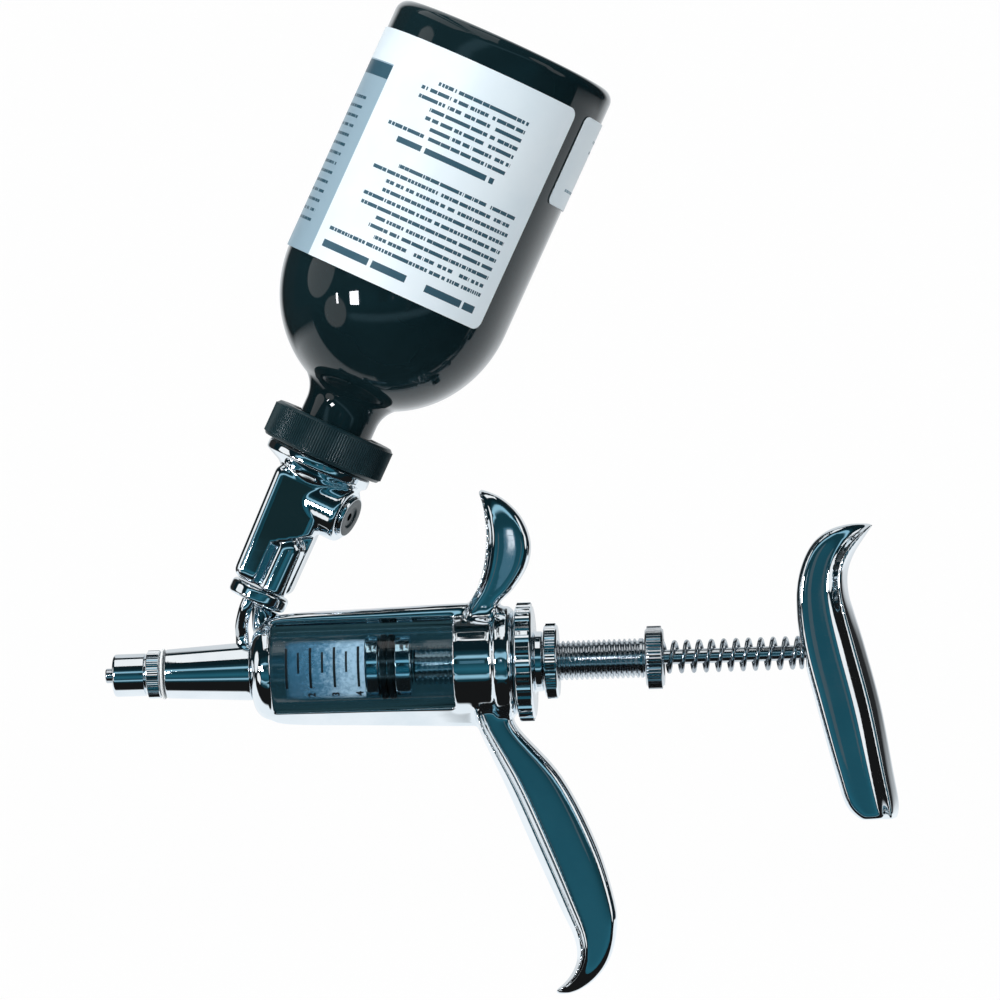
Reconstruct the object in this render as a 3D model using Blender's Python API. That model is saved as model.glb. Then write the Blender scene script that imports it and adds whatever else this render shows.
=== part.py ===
"""Automatic vaccinator: a spring-returned livestock syringe with its vaccine bottle. Blender 4.5, metres, +Z up.

X runs along the barrel from the nozzle (-X) to the palm handle (+X), and Z is up towards the bottle. The origin is
on the barrel's axis, in the middle of the frame's rear collar. Turned pieces are drawn as outlines of (station,
radius) along an axis. The bottle and its elbow have an axis of their own, which leans back over the barrel; on
it, a place is (station, right, back): up the bottle, towards the palm handle, and away from the window.
"""

import math

import bmesh
import bpy
from mathutils import Matrix, Vector

MM = 0.001
GAP = 0.3 * MM

# Facets round a full circle
BROAD = 40
MEDIUM = 24
FINE = 16

# Glass barrel and dose
BORE_RADIUS = 7.65 * MM
GLASS_WALL = 1.6 * MM
MILLILITRE = 5.42 * MM
SET_DOSE = 4
FULL_DOSE = 5

# Frame casting
COLLAR_LENGTH = 13.5 * MM
WINDOW_LENGTH = 40.75 * MM
NOSE_LENGTH = 5.0 * MM
NOSE_ROUND = 4.0 * MM
SEAT_WALL = 2.1 * MM
SHELL_WALL = 1.45 * MM
COLLAR_RADIUS = 11.5 * MM
RIM_RADIUS = 12.7 * MM
RIM_LENGTH = 4.9 * MM
SEAL_THICKNESS = 0.8 * MM
BARREL_IN_COLLAR = 5.25 * MM
WINDOW_LOW = 9.4 * MM
WINDOW_HIGH = 10.7 * MM
WINDOW_BACK = 2.0 * MM
RIB_WIDTH = 9.0 * MM
RIB_ROUND = 1.6 * MM
TOP_RIB_FRONT = 1.4 * MM
TOP_RIB_REAR = 2.4 * MM
LOW_RIB_FRONT = 1.1 * MM
LOW_RIB_REAR = 2.7 * MM

# Front and rear edges of the horn and the grips, as (x, z) on smooth lines, root first
HORN_FRONT = [
    (-5.0, 9.0), (-3.4, 13.3), (-1.0, 17.6), (0.5, 23.0), (1.1, 28.5), (0.9, 33.0), (0.4, 36.5), (-0.4, 38.8),
]
HORN_BACK = [
    (2.0, 9.0), (3.0, 12.9), (7.0, 16.9), (10.2, 22.0), (10.9, 27.3), (8.9, 32.8), (4.9, 37.0), (0.5, 39.1),
]
GRIP_FRONT = [
    (-4.0, -9.0), (-2.0, -15.0), (3.6, -28.0), (9.2, -42.0), (14.6, -55.0), (17.6, -62.0), (18.2, -66.6),
    (17.0, -70.0), (14.9, -72.6), (12.9, -74.1),
]
GRIP_BACK = [
    (5.4, -9.0), (6.4, -14.4), (16.0, -26.0), (23.2, -41.0), (27.0, -54.5), (27.2, -61.0), (25.6, -67.0),
    (22.3, -71.4), (17.8, -74.2), (13.5, -74.8),
]
PALM_FRONT = [
    (86.4, 28.4), (82.0, 28.3), (77.4, 26.9), (73.6, 23.5), (71.0, 17.5), (70.2, 10.5), (71.0, 1.0),
    (74.0, -12.5), (77.5, -27.0), (79.8, -34.6), (83.2, -37.9),
]
PALM_BACK = [
    (87.9, 28.1), (85.9, 25.4), (83.4, 21.7), (81.9, 17.6), (81.9, 13.0), (83.0, 8.6), (85.1, 1.0),
    (88.2, -12.5), (90.4, -27.0), (91.4, -34.2), (90.9, -37.7),
]
HORN_WIDTH = 13.0 * MM
HORN_WEB = 8.5 * MM
GRIP_WIDTH = 15.0 * MM
GRIP_WEB = 9.0 * MM
PALM_WIDTH = 17.0 * MM
PALM_WEB = 10.5 * MM
FLANGE_SHARE = 0.32

# Valve body, nozzle and feed tube
BODY_REAR_RADIUS = 6.6 * MM
BODY_FRONT_RADIUS = 5.5 * MM
BODY_LENGTH = 19.6 * MM
BODY_SPIGOT_RADIUS = 4.5 * MM
WASHER_THICKNESS = 0.55 * MM
NUT_RADIUS = 4.8 * MM
NUT_WALL = 0.9 * MM
NUT_LENGTH = 10.75 * MM
NUT_FRONT_WALL = 1.5 * MM
KNURL_LENGTH = 3.0 * MM
KNURL_RADIUS = 5.5 * MM
NOZZLE_THREAD_WALL = 1.0 * MM
NOZZLE_THREAD_LENGTH = 5.6 * MM
NIPPLE_RADIUS = 1.64 * MM
NIPPLE_LENGTH = 1.9 * MM
NEEDLE_BORE = 0.75 * MM
VALVE_HEAD_RADIUS = 2.0 * MM
VALVE_HEAD_LENGTH = 1.2 * MM
VALVE_STEM_RADIUS = 0.8 * MM
VALVE_STEM_LENGTH = 5.5 * MM
VALVE_SEAT_BORE = 1.3 * MM
TUBE_RADIUS = 1.5 * MM
TUBE_BORE = 0.9 * MM
TUBE_SOCKET_DEPTH = 1.5 * MM
TUBE_FROM_FRAME = 2.4 * MM
TUBE_SIDES = 10

# Bottle axis and elbow
LEAN = math.radians(26.6)
FOOT_FROM_FRAME = 2.6 * MM
FOOT_OVER_FRAME = 7.8 * MM
FOOT_RADIUS = 6.8 * MM
FOOT_LENGTH = 3.5 * MM
BLOCK_RIGHT = 6.4 * MM
BLOCK_LEFT = 6.9 * MM
BLOCK_TOP_LEFT = 7.8 * MM
BLOCK_FRONT = 7.0 * MM
BLOCK_BACK = 6.5 * MM
BLOCK_LENGTH = 27.5 * MM
BLOCK_ROUND = 2.2 * MM
RECESS_LEFT = 1.7 * MM
RECESS_SLOPE = 0.647
RECESS_TOP = 11.4 * MM
CHAMBER_RIGHT = 2.4 * MM
CHAMBER_FORWARD = 3.6 * MM
CHAMBER_BOSS_RADIUS = 3.4 * MM
CHAMBER_RADIUS = 2.1 * MM
CHAMBER_LENGTH = 10.4 * MM
STUD_RIGHT = 1.8 * MM
STUD_BACK = 1.8 * MM
STUD_RADIUS = 1.9 * MM
STUD_LENGTH = 6.0 * MM
STUB_X = -48.8 * MM
STUB_BASE_RADIUS = 3.8 * MM
STUB_TOP_RADIUS = 3.3 * MM
SOCKET_LEFT = -1.2 * MM
SOCKET_FORWARD = 3.4 * MM
VENT_BELOW_BLOCK_TOP = 4.9 * MM
VENT_TURN = math.radians(15)
VENT_REACH = 11.4 * MM
VENT_BOSS_RADIUS = 6.5 * MM
VENT_BORE = 4.2 * MM
VENT_DEPTH = 5.0 * MM
VENT_DISC_THICKNESS = 0.8 * MM
VENT_DISC_LIFT = 0.6 * MM
VENT_PLUG_HEAD = 1.1 * MM
FLANGE_RADIUS = 12.3 * MM
FLANGE_LENGTH = 2.9 * MM
CUP_OUTER = 11.7 * MM
CUP_DEPTH = 4.0 * MM
CUP_FLOOR = 0.5 * MM

# Bottle, its closure and its ring
RING_RADIUS = 14.4 * MM
RING_LENGTH = 8.2 * MM
RING_LIP = 1.5 * MM
RING_TEETH = 28
SLEEVE_HEIGHT = 1.8 * MM
CRIMP_RADIUS = 10.25 * MM
CRIMP_WALL = 0.4 * MM
CRIMP_LENGTH = 7.4 * MM
CRIMP_OPENING = 4.5 * MM
STOPPER_FLANGE = 2.8 * MM
STOPPER_PLUG = 6.0 * MM
STOPPER_PLUG_LENGTH = 6.0 * MM
NECK_RADIUS = 8.6 * MM
NECK_BORE = 6.3 * MM
NECK_ROUND = 7.0 * MM
BOTTLE_RADIUS = 26.4 * MM
BOTTLE_WALL = 2.3 * MM
BOTTLE_LENGTH = 101.3 * MM
BOTTLE_FLOOR = 3.5 * MM
SHOULDER_LENGTH = 24.0 * MM
BASE_ROUND = 4.5 * MM
SPIKE_RADIUS = 1.0 * MM
SPIKE_BORE = 0.5 * MM
SPIKE_REACH = 13.5 * MM
AIR_RIGHT = 2.9 * MM
AIR_RADIUS = 0.8 * MM
AIR_BORE = 0.4 * MM
AIR_REACH = 26.0 * MM
LABEL_THICKNESS = 0.3 * MM
LABEL_GAP = 0.15 * MM
LABEL_START = 53.6 * MM
LABEL_INSET = 7.5 * MM
SIDE_LABEL_HEIGHT = 21.2 * MM

# Barrel cap, lock nut and dose sleeve
CAP_SPIGOT_RADIUS = 9.45 * MM
CAP_RIM_RADIUS = 13.4 * MM
CAP_RIM_LENGTH = 3.95 * MM
CAP_NOTCHES = 28
NOTCH_DEPTH = 0.55 * MM
CAP_HUB_RADIUS = 6.75 * MM
CAP_HUB_LENGTH = 2.0 * MM
THREAD_RADIUS = 4.45 * MM
THREAD_PITCH = 1.15 * MM
LOCK_NUT_RADIUS = 8.5 * MM
LOCK_NUT_LENGTH = 3.1 * MM
KNURL_TEETH = 18
KNURL_DEPTH = 0.3 * MM
SLEEVE_HEAD_RADIUS = 7.1 * MM
SLEEVE_HEAD_LENGTH = 4.1 * MM
SLEEVE_LENGTH = 56.2 * MM
SPRING_SEAT_DEPTH = 3.4 * MM
SPRING_WASHER_THICKNESS = 0.7 * MM

# Piston, rod and main spring
PISTON_LENGTH = 10.5 * MM
PISTON_LAND_RADIUS = 7.3 * MM
PISTON_GROOVE_LENGTH = 3.8 * MM
PISTON_FRONT_LAND = 3.1 * MM
RING_SECTION = 0.725 * MM
RING_CLEARANCE = 0.2 * MM
ROD_RADIUS = 1.67 * MM
ROD_IN_PISTON = 5.0 * MM
ROD_IN_HANDLE = 7.0 * MM
SPRING_RADIUS = 3.35 * MM
SPRING_WIRE = 0.45 * MM
SPRING_TURNS = 13
SPRING_END_PITCH = 1.35 * MM
SPRING_COUNTERBORE = 4.3 * MM
SPRING_LENGTH = 34.0 * MM
VALVE_SPRING_WIRE = 0.22 * MM
CURL_POINTS = 8

# Stations along the barrel, worked out from the sizes above
COLLAR_FRONT = -COLLAR_LENGTH / 2
COLLAR_REAR = COLLAR_LENGTH / 2
WINDOW_FRONT = COLLAR_FRONT - WINDOW_LENGTH
FRAME_FRONT = WINDOW_FRONT - NOSE_LENGTH
SEAT_FLOOR = FRAME_FRONT + SEAT_WALL
BARREL_FRONT = SEAT_FLOOR + SEAL_THICKNESS + 2 * GAP
BARREL_REAR = COLLAR_FRONT + BARREL_IN_COLLAR
BARREL_RADIUS = BORE_RADIUS + GLASS_WALL
FRAME_BORE = BARREL_RADIUS + 0.5 * MM
SHELL_RADIUS = FRAME_BORE + SHELL_WALL
SPIGOT_HOLE = BODY_SPIGOT_RADIUS + GAP + 0.05 * MM
CAP_FRONT = BARREL_REAR + SEAL_THICKNESS + 2 * GAP
CAP_RIM_FRONT = COLLAR_REAR + GAP
CAP_HUB_REAR = CAP_RIM_FRONT + CAP_RIM_LENGTH + CAP_HUB_LENGTH
CAP_BORE = THREAD_RADIUS + GAP
LOCK_NUT_FRONT = CAP_HUB_REAR + GAP
STROKE = SET_DOSE * MILLILITRE
PISTON_FRONT = BARREL_FRONT + 0.4 * MM + STROKE
PISTON_REAR = PISTON_FRONT + PISTON_LENGTH
SLEEVE_FRONT = PISTON_REAR + GAP
SLEEVE_REAR = SLEEVE_FRONT + SLEEVE_LENGTH
SLEEVE_HEAD_FRONT = SLEEVE_REAR - SLEEVE_HEAD_LENGTH
SPRING_SEAT = SLEEVE_REAR - SPRING_SEAT_DEPTH
SPRING_WASHER_FRONT = SPRING_SEAT + GAP
SPRING_FRONT = SPRING_WASHER_FRONT + SPRING_WASHER_THICKNESS + GAP
SPRING_REAR = SPRING_FRONT + SPRING_LENGTH
HANDLE_SEAT = SPRING_REAR + GAP
ROD_HOLE = ROD_RADIUS + GAP
ROD_FRONT = PISTON_REAR - ROD_IN_PISTON
ROD_REAR = HANDLE_SEAT + ROD_IN_HANDLE

BODY_REAR = FRAME_FRONT - GAP
BODY_FRONT = BODY_REAR - BODY_LENGTH
SPIGOT_REAR = SEAT_FLOOR + GAP
NUT_REAR = BODY_FRONT - WASHER_THICKNESS - 2 * GAP
NUT_FRONT = NUT_REAR - NUT_LENGTH
NUT_BORE = NUT_RADIUS - NUT_WALL
NOZZLE_THREAD_RADIUS = NUT_BORE - GAP
VALVE_CHAMBER = NOZZLE_THREAD_RADIUS - NOZZLE_THREAD_WALL
NOZZLE_THREAD_FRONT = BODY_FRONT - NOZZLE_THREAD_LENGTH
VALVE_SEAT = BODY_REAR - 0.37 * BODY_LENGTH
TUBE_X = FRAME_FRONT - TUBE_FROM_FRAME
TUBE_HOLE = TUBE_RADIUS + GAP

# The bottle's axis, and stations up it. The elbow stands on the foot at station 0.
AXIS_FOOT = Vector((FRAME_FRONT + FOOT_FROM_FRAME, 0.0, SHELL_RADIUS + FOOT_OVER_FRAME))
FOOT_TOP = -GAP
FOOT_BOTTOM = FOOT_TOP - FOOT_LENGTH
VENT_STATION = BLOCK_LENGTH - VENT_BELOW_BLOCK_TOP
FLANGE_TOP = BLOCK_LENGTH + 1.2 * MM + FLANGE_LENGTH
CUP_BOTTOM = FLANGE_TOP + CUP_FLOOR
CUP_TOP = CUP_BOTTOM + CUP_DEPTH
CUP_RADIUS = CRIMP_RADIUS + GAP + 0.05 * MM
CRIMP_BOTTOM = CUP_BOTTOM + GAP
CRIMP_TOP = CRIMP_BOTTOM + CRIMP_LENGTH
RING_BOTTOM = FLANGE_TOP + GAP
RING_TOP = RING_BOTTOM + RING_LENGTH
STOPPER_BOTTOM = CRIMP_BOTTOM + CRIMP_WALL + GAP
MOUTH = STOPPER_BOTTOM + STOPPER_FLANGE + GAP
FINISH_TOP = CRIMP_TOP - CRIMP_WALL - GAP
FINISH_RADIUS = CRIMP_RADIUS - CRIMP_WALL - GAP
BOTTLE_BASE = MOUTH + BOTTLE_LENGTH - (MOUTH - CRIMP_BOTTOM)
SHOULDER_TOP = RING_TOP + 3.0 * MM + NECK_ROUND + SHOULDER_LENGTH
LABEL_TOP = BOTTLE_BASE - LABEL_INSET
LABEL_BOTTOM = LABEL_TOP - LABEL_START
SPIKE_HOLE = SPIKE_RADIUS + GAP
AIR_HOLE = AIR_RADIUS + GAP

FINISHES = {
    "chrome": ((0.72, 0.74, 0.76), 0.08, 1.0),
    "steel": ((0.45, 0.46, 0.48), 0.25, 1.0),
    "aluminium": ((0.65, 0.66, 0.68), 0.3, 1.0),
    "clear_glass": ((0.75, 0.82, 0.84), 0.03, 0.0),
    "dark_glass": ((0.015, 0.025, 0.03), 0.06, 0.0),
    "black_plastic": ((0.02, 0.03, 0.035), 0.45, 0.0),
    "black_rubber": ((0.015, 0.015, 0.016), 0.7, 0.0),
    "grey_rubber": ((0.25, 0.26, 0.28), 0.7, 0.0),
    "white_plastic": ((0.85, 0.86, 0.88), 0.4, 0.0),
    "white_paper": ((0.8, 0.82, 0.86), 0.55, 0.0),
}


# Scene and materials


def clear_scene():
    for obj in list(bpy.data.objects):
        bpy.data.objects.remove(obj)


def make_finishes():
    made = {}
    for name, (colour, roughness, metallic) in FINISHES.items():
        material = bpy.data.materials.new(name)
        material.use_nodes = True
        shader = material.node_tree.nodes["Principled BSDF"]
        shader.inputs["Base Color"].default_value = (*colour, 1.0)
        shader.inputs["Roughness"].default_value = roughness
        shader.inputs["Metallic"].default_value = metallic
        made[name] = material
    return made


def axis_empty(name, origin, turn):
    """An empty whose local X is an axis that turned pieces are drawn along."""
    empty = bpy.data.objects.new(name, None)
    empty.location = origin
    empty.rotation_euler = turn
    bpy.context.collection.objects.link(empty)
    return empty


def place(name, mesh, finish, parent=None):
    obj = bpy.data.objects.new(name, mesh)
    mesh.materials.append(finish)
    mesh.shade_smooth()
    mesh.set_sharp_from_angle(angle=math.radians(35))
    bpy.context.collection.objects.link(obj)
    obj.parent = parent
    return obj


def as_mesh(name, bm):
    bmesh.ops.recalc_face_normals(bm, faces=bm.faces)
    mesh = bpy.data.meshes.new(name)
    bm.to_mesh(mesh)
    bm.free()
    return mesh


# Shapes


def arc(centre, radius, start, end, steps):
    """Points of (station, radius) on an arc, angles in degrees from the +station direction."""
    points = []
    for step in range(steps + 1):
        angle = math.radians(start + (end - start) * step / steps)
        points.append((centre[0] + radius * math.cos(angle), centre[1] + radius * math.sin(angle)))
    return points


def smooth_line(points, count):
    """Points at even steps of a smooth line through the given ones, in metres."""
    places = [Vector(point) * MM for point in points]
    ahead = [places[0] * 2 - places[1]] + places + [places[-1] * 2 - places[-2]]
    found = []
    for step in range(count):
        along = step * (len(places) - 1) / (count - 1)
        index = min(int(along), len(places) - 2)
        t = along - index
        a, b, c, d = ahead[index : index + 4]
        found.append(
            0.5 * (2 * b + (c - a) * t + (2 * a - 5 * b + 4 * c - d) * t**2 + (3 * b - a - 3 * c + d) * t**3)
        )
    return found


def turned_mesh(name, outline, segments, teeth_from=None, tooth_depth=0.0, stretch=None):
    """A solid of revolution about X. An outline that starts and ends on the axis is solid, and any other is a
    ring. Where teeth_from is given, every second column of points further out than it is drawn in, between the
    stations of stretch."""
    bm = bmesh.new()
    verts = [bm.verts.new((station, 0.0, radius)) for station, radius in outline]
    pairs = list(zip(verts, verts[1:]))
    if outline[0][1] > 0 or outline[-1][1] > 0:
        pairs.append((verts[-1], verts[0]))
    edges = [bm.edges.new(pair) for pair in pairs]
    bmesh.ops.spin(
        bm, geom=verts + edges, cent=(0, 0, 0), axis=(1, 0, 0), angle=2 * math.pi, steps=segments
    )
    bmesh.ops.remove_doubles(bm, verts=bm.verts, dist=1e-7)
    if teeth_from is not None:
        for vert in bm.verts:
            radius = math.hypot(vert.co.y, vert.co.z)
            column = round(math.atan2(vert.co.y, vert.co.z) / (2 * math.pi / segments))
            if radius > teeth_from and column % 2 and stretch[0] <= vert.co.x <= stretch[1]:
                vert.co.y *= 1 - tooth_depth / radius
                vert.co.z *= 1 - tooth_depth / radius
    return as_mesh(name, bm)


def turned(name, outline, finish, segments=MEDIUM, parent=None, **teeth):
    return place(name, turned_mesh(name, outline, segments, **teeth), finish, parent)


def tube_outline(front, rear, inner, outer, chamfer=0.0):
    """The closed outline of a plain ring, with its outer edges chamfered."""
    if not chamfer:
        return [(front, inner), (front, outer), (rear, outer), (rear, inner)]
    return [
        (front, inner), (front, outer - chamfer), (front + chamfer, outer), (rear - chamfer, outer),
        (rear, outer - chamfer), (rear, inner),
    ]


def rod_outline(front, rear, radius, chamfer=0.0):
    if not chamfer:
        return [(front, 0.0), (front, radius), (rear, radius), (rear, 0.0)]
    return [
        (front, 0.0), (front, radius - chamfer), (front + chamfer, radius), (rear - chamfer, radius),
        (rear, radius - chamfer), (rear, 0.0),
    ]


def lofted_mesh(name, rings):
    """A closed skin over rings of points, with flat ends."""
    bm = bmesh.new()
    loops = [[bm.verts.new(point) for point in ring] for ring in rings]
    for low, high in zip(loops, loops[1:]):
        for index, vert in enumerate(low):
            follow = (index + 1) % len(low)
            bm.faces.new((vert, low[follow], high[follow], high[index]))
    bm.faces.new(reversed(loops[0]))
    bm.faces.new(loops[-1])
    return as_mesh(name, bm)


def handle_mesh(name, front, back, count, web, width, flange_at_back, end_taper):
    """A handle between two edges in the XZ plane: a web with a wider rounded flange along one edge. end_taper
    says how far from each end, as a share of the length, the handle narrows to its tip."""
    profile = [
        (0.0, 0.32 * web), (0.07, 0.42 * web), (0.2, 0.5 * web), (1 - 1.5 * FLANGE_SHARE, 0.5 * web),
        (1 - FLANGE_SHARE, 0.42 * width), (1 - 0.7 * FLANGE_SHARE, 0.5 * width), (0.91, 0.47 * width),
        (0.98, 0.36 * width), (1.0, 0.2 * width),
    ]
    rings = []
    edges = zip(smooth_line(front, count), smooth_line(back, count))
    for step, (fore, aft) in enumerate(edges):
        share = step / (count - 1)
        size = 1.0
        for length, distance in zip(end_taper, (share, 1 - share)):
            if length and distance < length:
                size = math.sqrt(max(1 - (1 - distance / length) ** 2, 0.0)) * 0.75 + 0.25
        if not flange_at_back:
            fore, aft = aft, fore
        side = [(fore.lerp(aft, along), half * size) for along, half in profile]
        ring = [(point.x, -half, point.y) for point, half in side]
        ring += [(point.x, half, point.y) for point, half in reversed(side)]
        rings.append(ring)
    return lofted_mesh(name, rings)


def piped_mesh(name, path, outer, inner, sides):
    """A tube of wall outer to inner along a path, open at both ends."""
    points = [Vector(point) for point in path]
    bm = bmesh.new()
    rings = []
    side = Vector((0, 1, 0))
    for index, point in enumerate(points):
        ahead = points[min(index + 1, len(points) - 1)] - points[max(index - 1, 0)]
        ahead.normalize()
        side = (side - ahead * side.dot(ahead)).normalized()
        up = ahead.cross(side)
        ring = []
        for radius in (outer, inner):
            for step in range(sides):
                angle = 2 * math.pi * step / sides
                ring.append(bm.verts.new(point + radius * (math.cos(angle) * side + math.sin(angle) * up)))
        rings.append((ring[:sides], ring[sides:]))
    for (outer_low, inner_low), (outer_high, inner_high) in zip(rings, rings[1:]):
        for index in range(sides):
            follow = (index + 1) % sides
            bm.faces.new((outer_low[index], outer_low[follow], outer_high[follow], outer_high[index]))
            bm.faces.new((inner_low[follow], inner_low[index], inner_high[index], inner_high[follow]))
    for outer_ring, inner_ring in (rings[0], rings[-1]):
        for index in range(sides):
            follow = (index + 1) % sides
            bm.faces.new((outer_ring[index], inner_ring[index], inner_ring[follow], outer_ring[follow]))
    return as_mesh(name, bm)


def coil_points(front, rear, radius, turns, end_pitch):
    """Points of a spring along X: an end turn at each end with end_pitch, even turns between, and a straight
    run of one wire diameter at each end."""
    count = turns * CURL_POINTS
    middle_pitch = (rear - front - 2 * end_pitch) / (turns - 2)
    points = []
    for step in range(count + 1):
        turn = step / CURL_POINTS
        along = front + end_pitch * min(turn, 1) + middle_pitch * min(max(turn - 1, 0), turns - 2)
        along += end_pitch * max(turn - turns + 1, 0)
        angle = 2 * math.pi * turn
        points.append(Vector((along, radius * math.sin(angle), radius * math.cos(angle))))
    return points


def least_gap(points, wire):
    """The least gap between turns, in metres, measured between points and the segments half a turn away."""
    least = math.inf
    for index, point in enumerate(points):
        for other in range(index + CURL_POINTS // 2, len(points) - 1):
            start = points[other]
            run = points[other + 1] - start
            share = min(max((point - start).dot(run) / run.length_squared, 0), 1)
            least = min(least, (point - start - run * share).length)
    return least - 2 * wire


def spring(name, points, wire, finish, parent=None):
    lead = (points[0] - points[1]).normalized() * wire * 2
    tail = (points[-1] - points[-2]).normalized() * wire * 2
    points = [points[0] + lead] + points + [points[-1] + tail]
    curve = bpy.data.curves.new(name, "CURVE")
    curve.dimensions = "3D"
    curve.bevel_depth = wire
    curve.bevel_resolution = 1
    curve.use_fill_caps = True
    line = curve.splines.new("POLY")
    line.points.add(len(points) - 1)
    for vertex, point in zip(line.points, points):
        vertex.co = (*point, 1.0)
    curve.materials.append(finish)
    obj = bpy.data.objects.new(name, curve)
    bpy.context.collection.objects.link(obj)
    obj.parent = parent
    print(f"{name}: least gap between turns {least_gap(points, wire) / MM:.2f} mm")
    return obj


def box_mesh(name, low, high, round_edges=0.0, steps=2):
    bm = bmesh.new()
    bmesh.ops.create_cube(bm, size=1.0)
    low, high = Vector(low), Vector(high)
    for vert in bm.verts:
        vert.co = Vector(low[i] + (vert.co[i] + 0.5) * (high[i] - low[i]) for i in range(3))
    if round_edges:
        bmesh.ops.bevel(
            bm, geom=list(bm.edges), offset=round_edges, segments=steps, profile=0.5, affect="EDGES", clamp_overlap=True
        )
    return as_mesh(name, bm)


def prism_mesh(name, outline, low, high, round_edges=0.0):
    """An outline in the XZ plane, pulled out along Y from low to high, with its edges rounded."""
    bm = bmesh.new()
    bottom = [bm.verts.new((x, low, z)) for x, z in outline]
    top = [bm.verts.new((x, high, z)) for x, z in outline]
    bm.faces.new(bottom)
    bm.faces.new(reversed(top))
    for index in range(len(outline)):
        follow = (index + 1) % len(outline)
        bm.faces.new((bottom[follow], bottom[index], top[index], top[follow]))
    if round_edges:
        bmesh.ops.bevel(
            bm, geom=list(bm.edges), offset=round_edges, segments=2, profile=0.5, affect="EDGES", clamp_overlap=True
        )
    return as_mesh(name, bm)


# Joining and cutting


def combine(target, mesh, operation, parent=None, matrix=None):
    """Adds a mesh to a piece, or cuts it away. The mesh stays as a hidden helper."""
    helper = bpy.data.objects.new(mesh.name, mesh)
    helper.hide_render = True
    helper.display_type = "WIRE"
    bpy.context.collection.objects.link(helper)
    helper.parent = parent
    if matrix is not None:
        helper.matrix_local = matrix
    modifier = target.modifiers.new(mesh.name, "BOOLEAN")
    modifier.operation = operation
    modifier.object = helper
    return helper


def join(target, mesh, parent=None, matrix=None):
    return combine(target, mesh, "UNION", parent, matrix)


def cut(target, mesh, parent=None, matrix=None):
    return combine(target, mesh, "DIFFERENCE", parent, matrix)


def drill(target, start, end, radius, parent=None, segments=FINE):
    """Cuts a round hole between two points of the parent's own axes."""
    start, end = Vector(start), Vector(end)
    mesh = turned_mesh(f"{target.name}_drill", rod_outline(0.0, (end - start).length, radius), segments)
    turn = (end - start).to_track_quat("X", "Z").to_matrix().to_4x4()
    return cut(target, mesh, parent, Matrix.Translation(start) @ turn)


# Places on the bottle's axis


def at(station, right=0.0, back=0.0):
    """A place on the bottle's own axes, whose local Z points to the left and front of the lean."""
    return Vector((station, back, -right))


def in_world(point):
    up = Vector((math.sin(LEAN), 0, math.cos(LEAN)))
    left = Vector((-math.cos(LEAN), 0, math.sin(LEAN)))
    return AXIS_FOOT + up * point.x + Vector((0, point.y, 0)) + left * point.z


def vent_direction():
    return Vector((0.0, -math.sin(VENT_TURN), -math.cos(VENT_TURN)))


# Frame


def frame_casting(finish, bottle_axis):
    outline = [(FRAME_FRONT, 0.0)]
    outline += arc((FRAME_FRONT + NOSE_ROUND, SHELL_RADIUS - NOSE_ROUND), NOSE_ROUND, 180, 90, 5)
    outline += [
        (COLLAR_FRONT, SHELL_RADIUS), (COLLAR_FRONT, COLLAR_RADIUS), (COLLAR_REAR - RIM_LENGTH, COLLAR_RADIUS),
        (COLLAR_REAR - RIM_LENGTH + 0.8 * MM, RIM_RADIUS), (COLLAR_REAR - 1.2 * MM, RIM_RADIUS),
        (COLLAR_REAR, RIM_RADIUS - 1.1 * MM), (COLLAR_REAR, 0.0),
    ]
    frame = turned("frame_casting", outline, finish, BROAD)
    for side, front, rear in ((1, TOP_RIB_FRONT, TOP_RIB_REAR), (-1, LOW_RIB_FRONT, LOW_RIB_REAR)):
        ridge = [
            (FRAME_FRONT + NOSE_ROUND * 0.6, 0.5 * SHELL_RADIUS),
            (FRAME_FRONT + NOSE_ROUND * 0.6, SHELL_RADIUS - 0.6 * MM),
            (WINDOW_FRONT + 2.4 * MM, SHELL_RADIUS + front),
            (COLLAR_FRONT - 1.0 * MM, SHELL_RADIUS + rear),
            (COLLAR_FRONT + 4.5 * MM, SHELL_RADIUS + rear),
            (COLLAR_REAR - RIM_LENGTH + 1.6 * MM, RIM_RADIUS - 0.3 * MM),
            (COLLAR_REAR - RIM_LENGTH + 1.6 * MM, 0.5 * SHELL_RADIUS),
        ]
        rib = prism_mesh(
            "rib", [(x, side * z) for x, z in ridge], -RIB_WIDTH / 2, RIB_WIDTH / 2, RIB_ROUND
        )
        join(frame, rib)
    join(frame, handle_mesh("horn", HORN_FRONT, HORN_BACK, 10, HORN_WEB, HORN_WIDTH, False, (0.0, 0.4)))
    join(frame, handle_mesh("grip", GRIP_FRONT, GRIP_BACK, 13, GRIP_WEB, GRIP_WIDTH, False, (0.0, 0.3)))
    join(frame, stub_mesh())
    join(frame, turned_mesh("stud", rod_outline(FOOT_BOTTOM - 1.5 * MM, STUD_LENGTH - GAP, STUD_RADIUS), FINE),
         bottle_axis, Matrix.Translation(at(0.0, STUD_RIGHT, STUD_BACK)))
    bore = [
        (FRAME_FRONT - 1 * MM, 0.0), (FRAME_FRONT - 1 * MM, SPIGOT_HOLE), (SEAT_FLOOR, SPIGOT_HOLE),
        (SEAT_FLOOR, FRAME_BORE), (COLLAR_REAR + 1 * MM, FRAME_BORE), (COLLAR_REAR + 1 * MM, 0.0),
    ]
    cut(frame, turned_mesh("frame_bore", bore, BROAD))
    window = box_mesh(
        "window", (WINDOW_FRONT, -2 * SHELL_RADIUS, -WINDOW_LOW), (COLLAR_FRONT, -WINDOW_BACK, WINDOW_HIGH)
    )
    cut(frame, window)
    return frame


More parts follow.
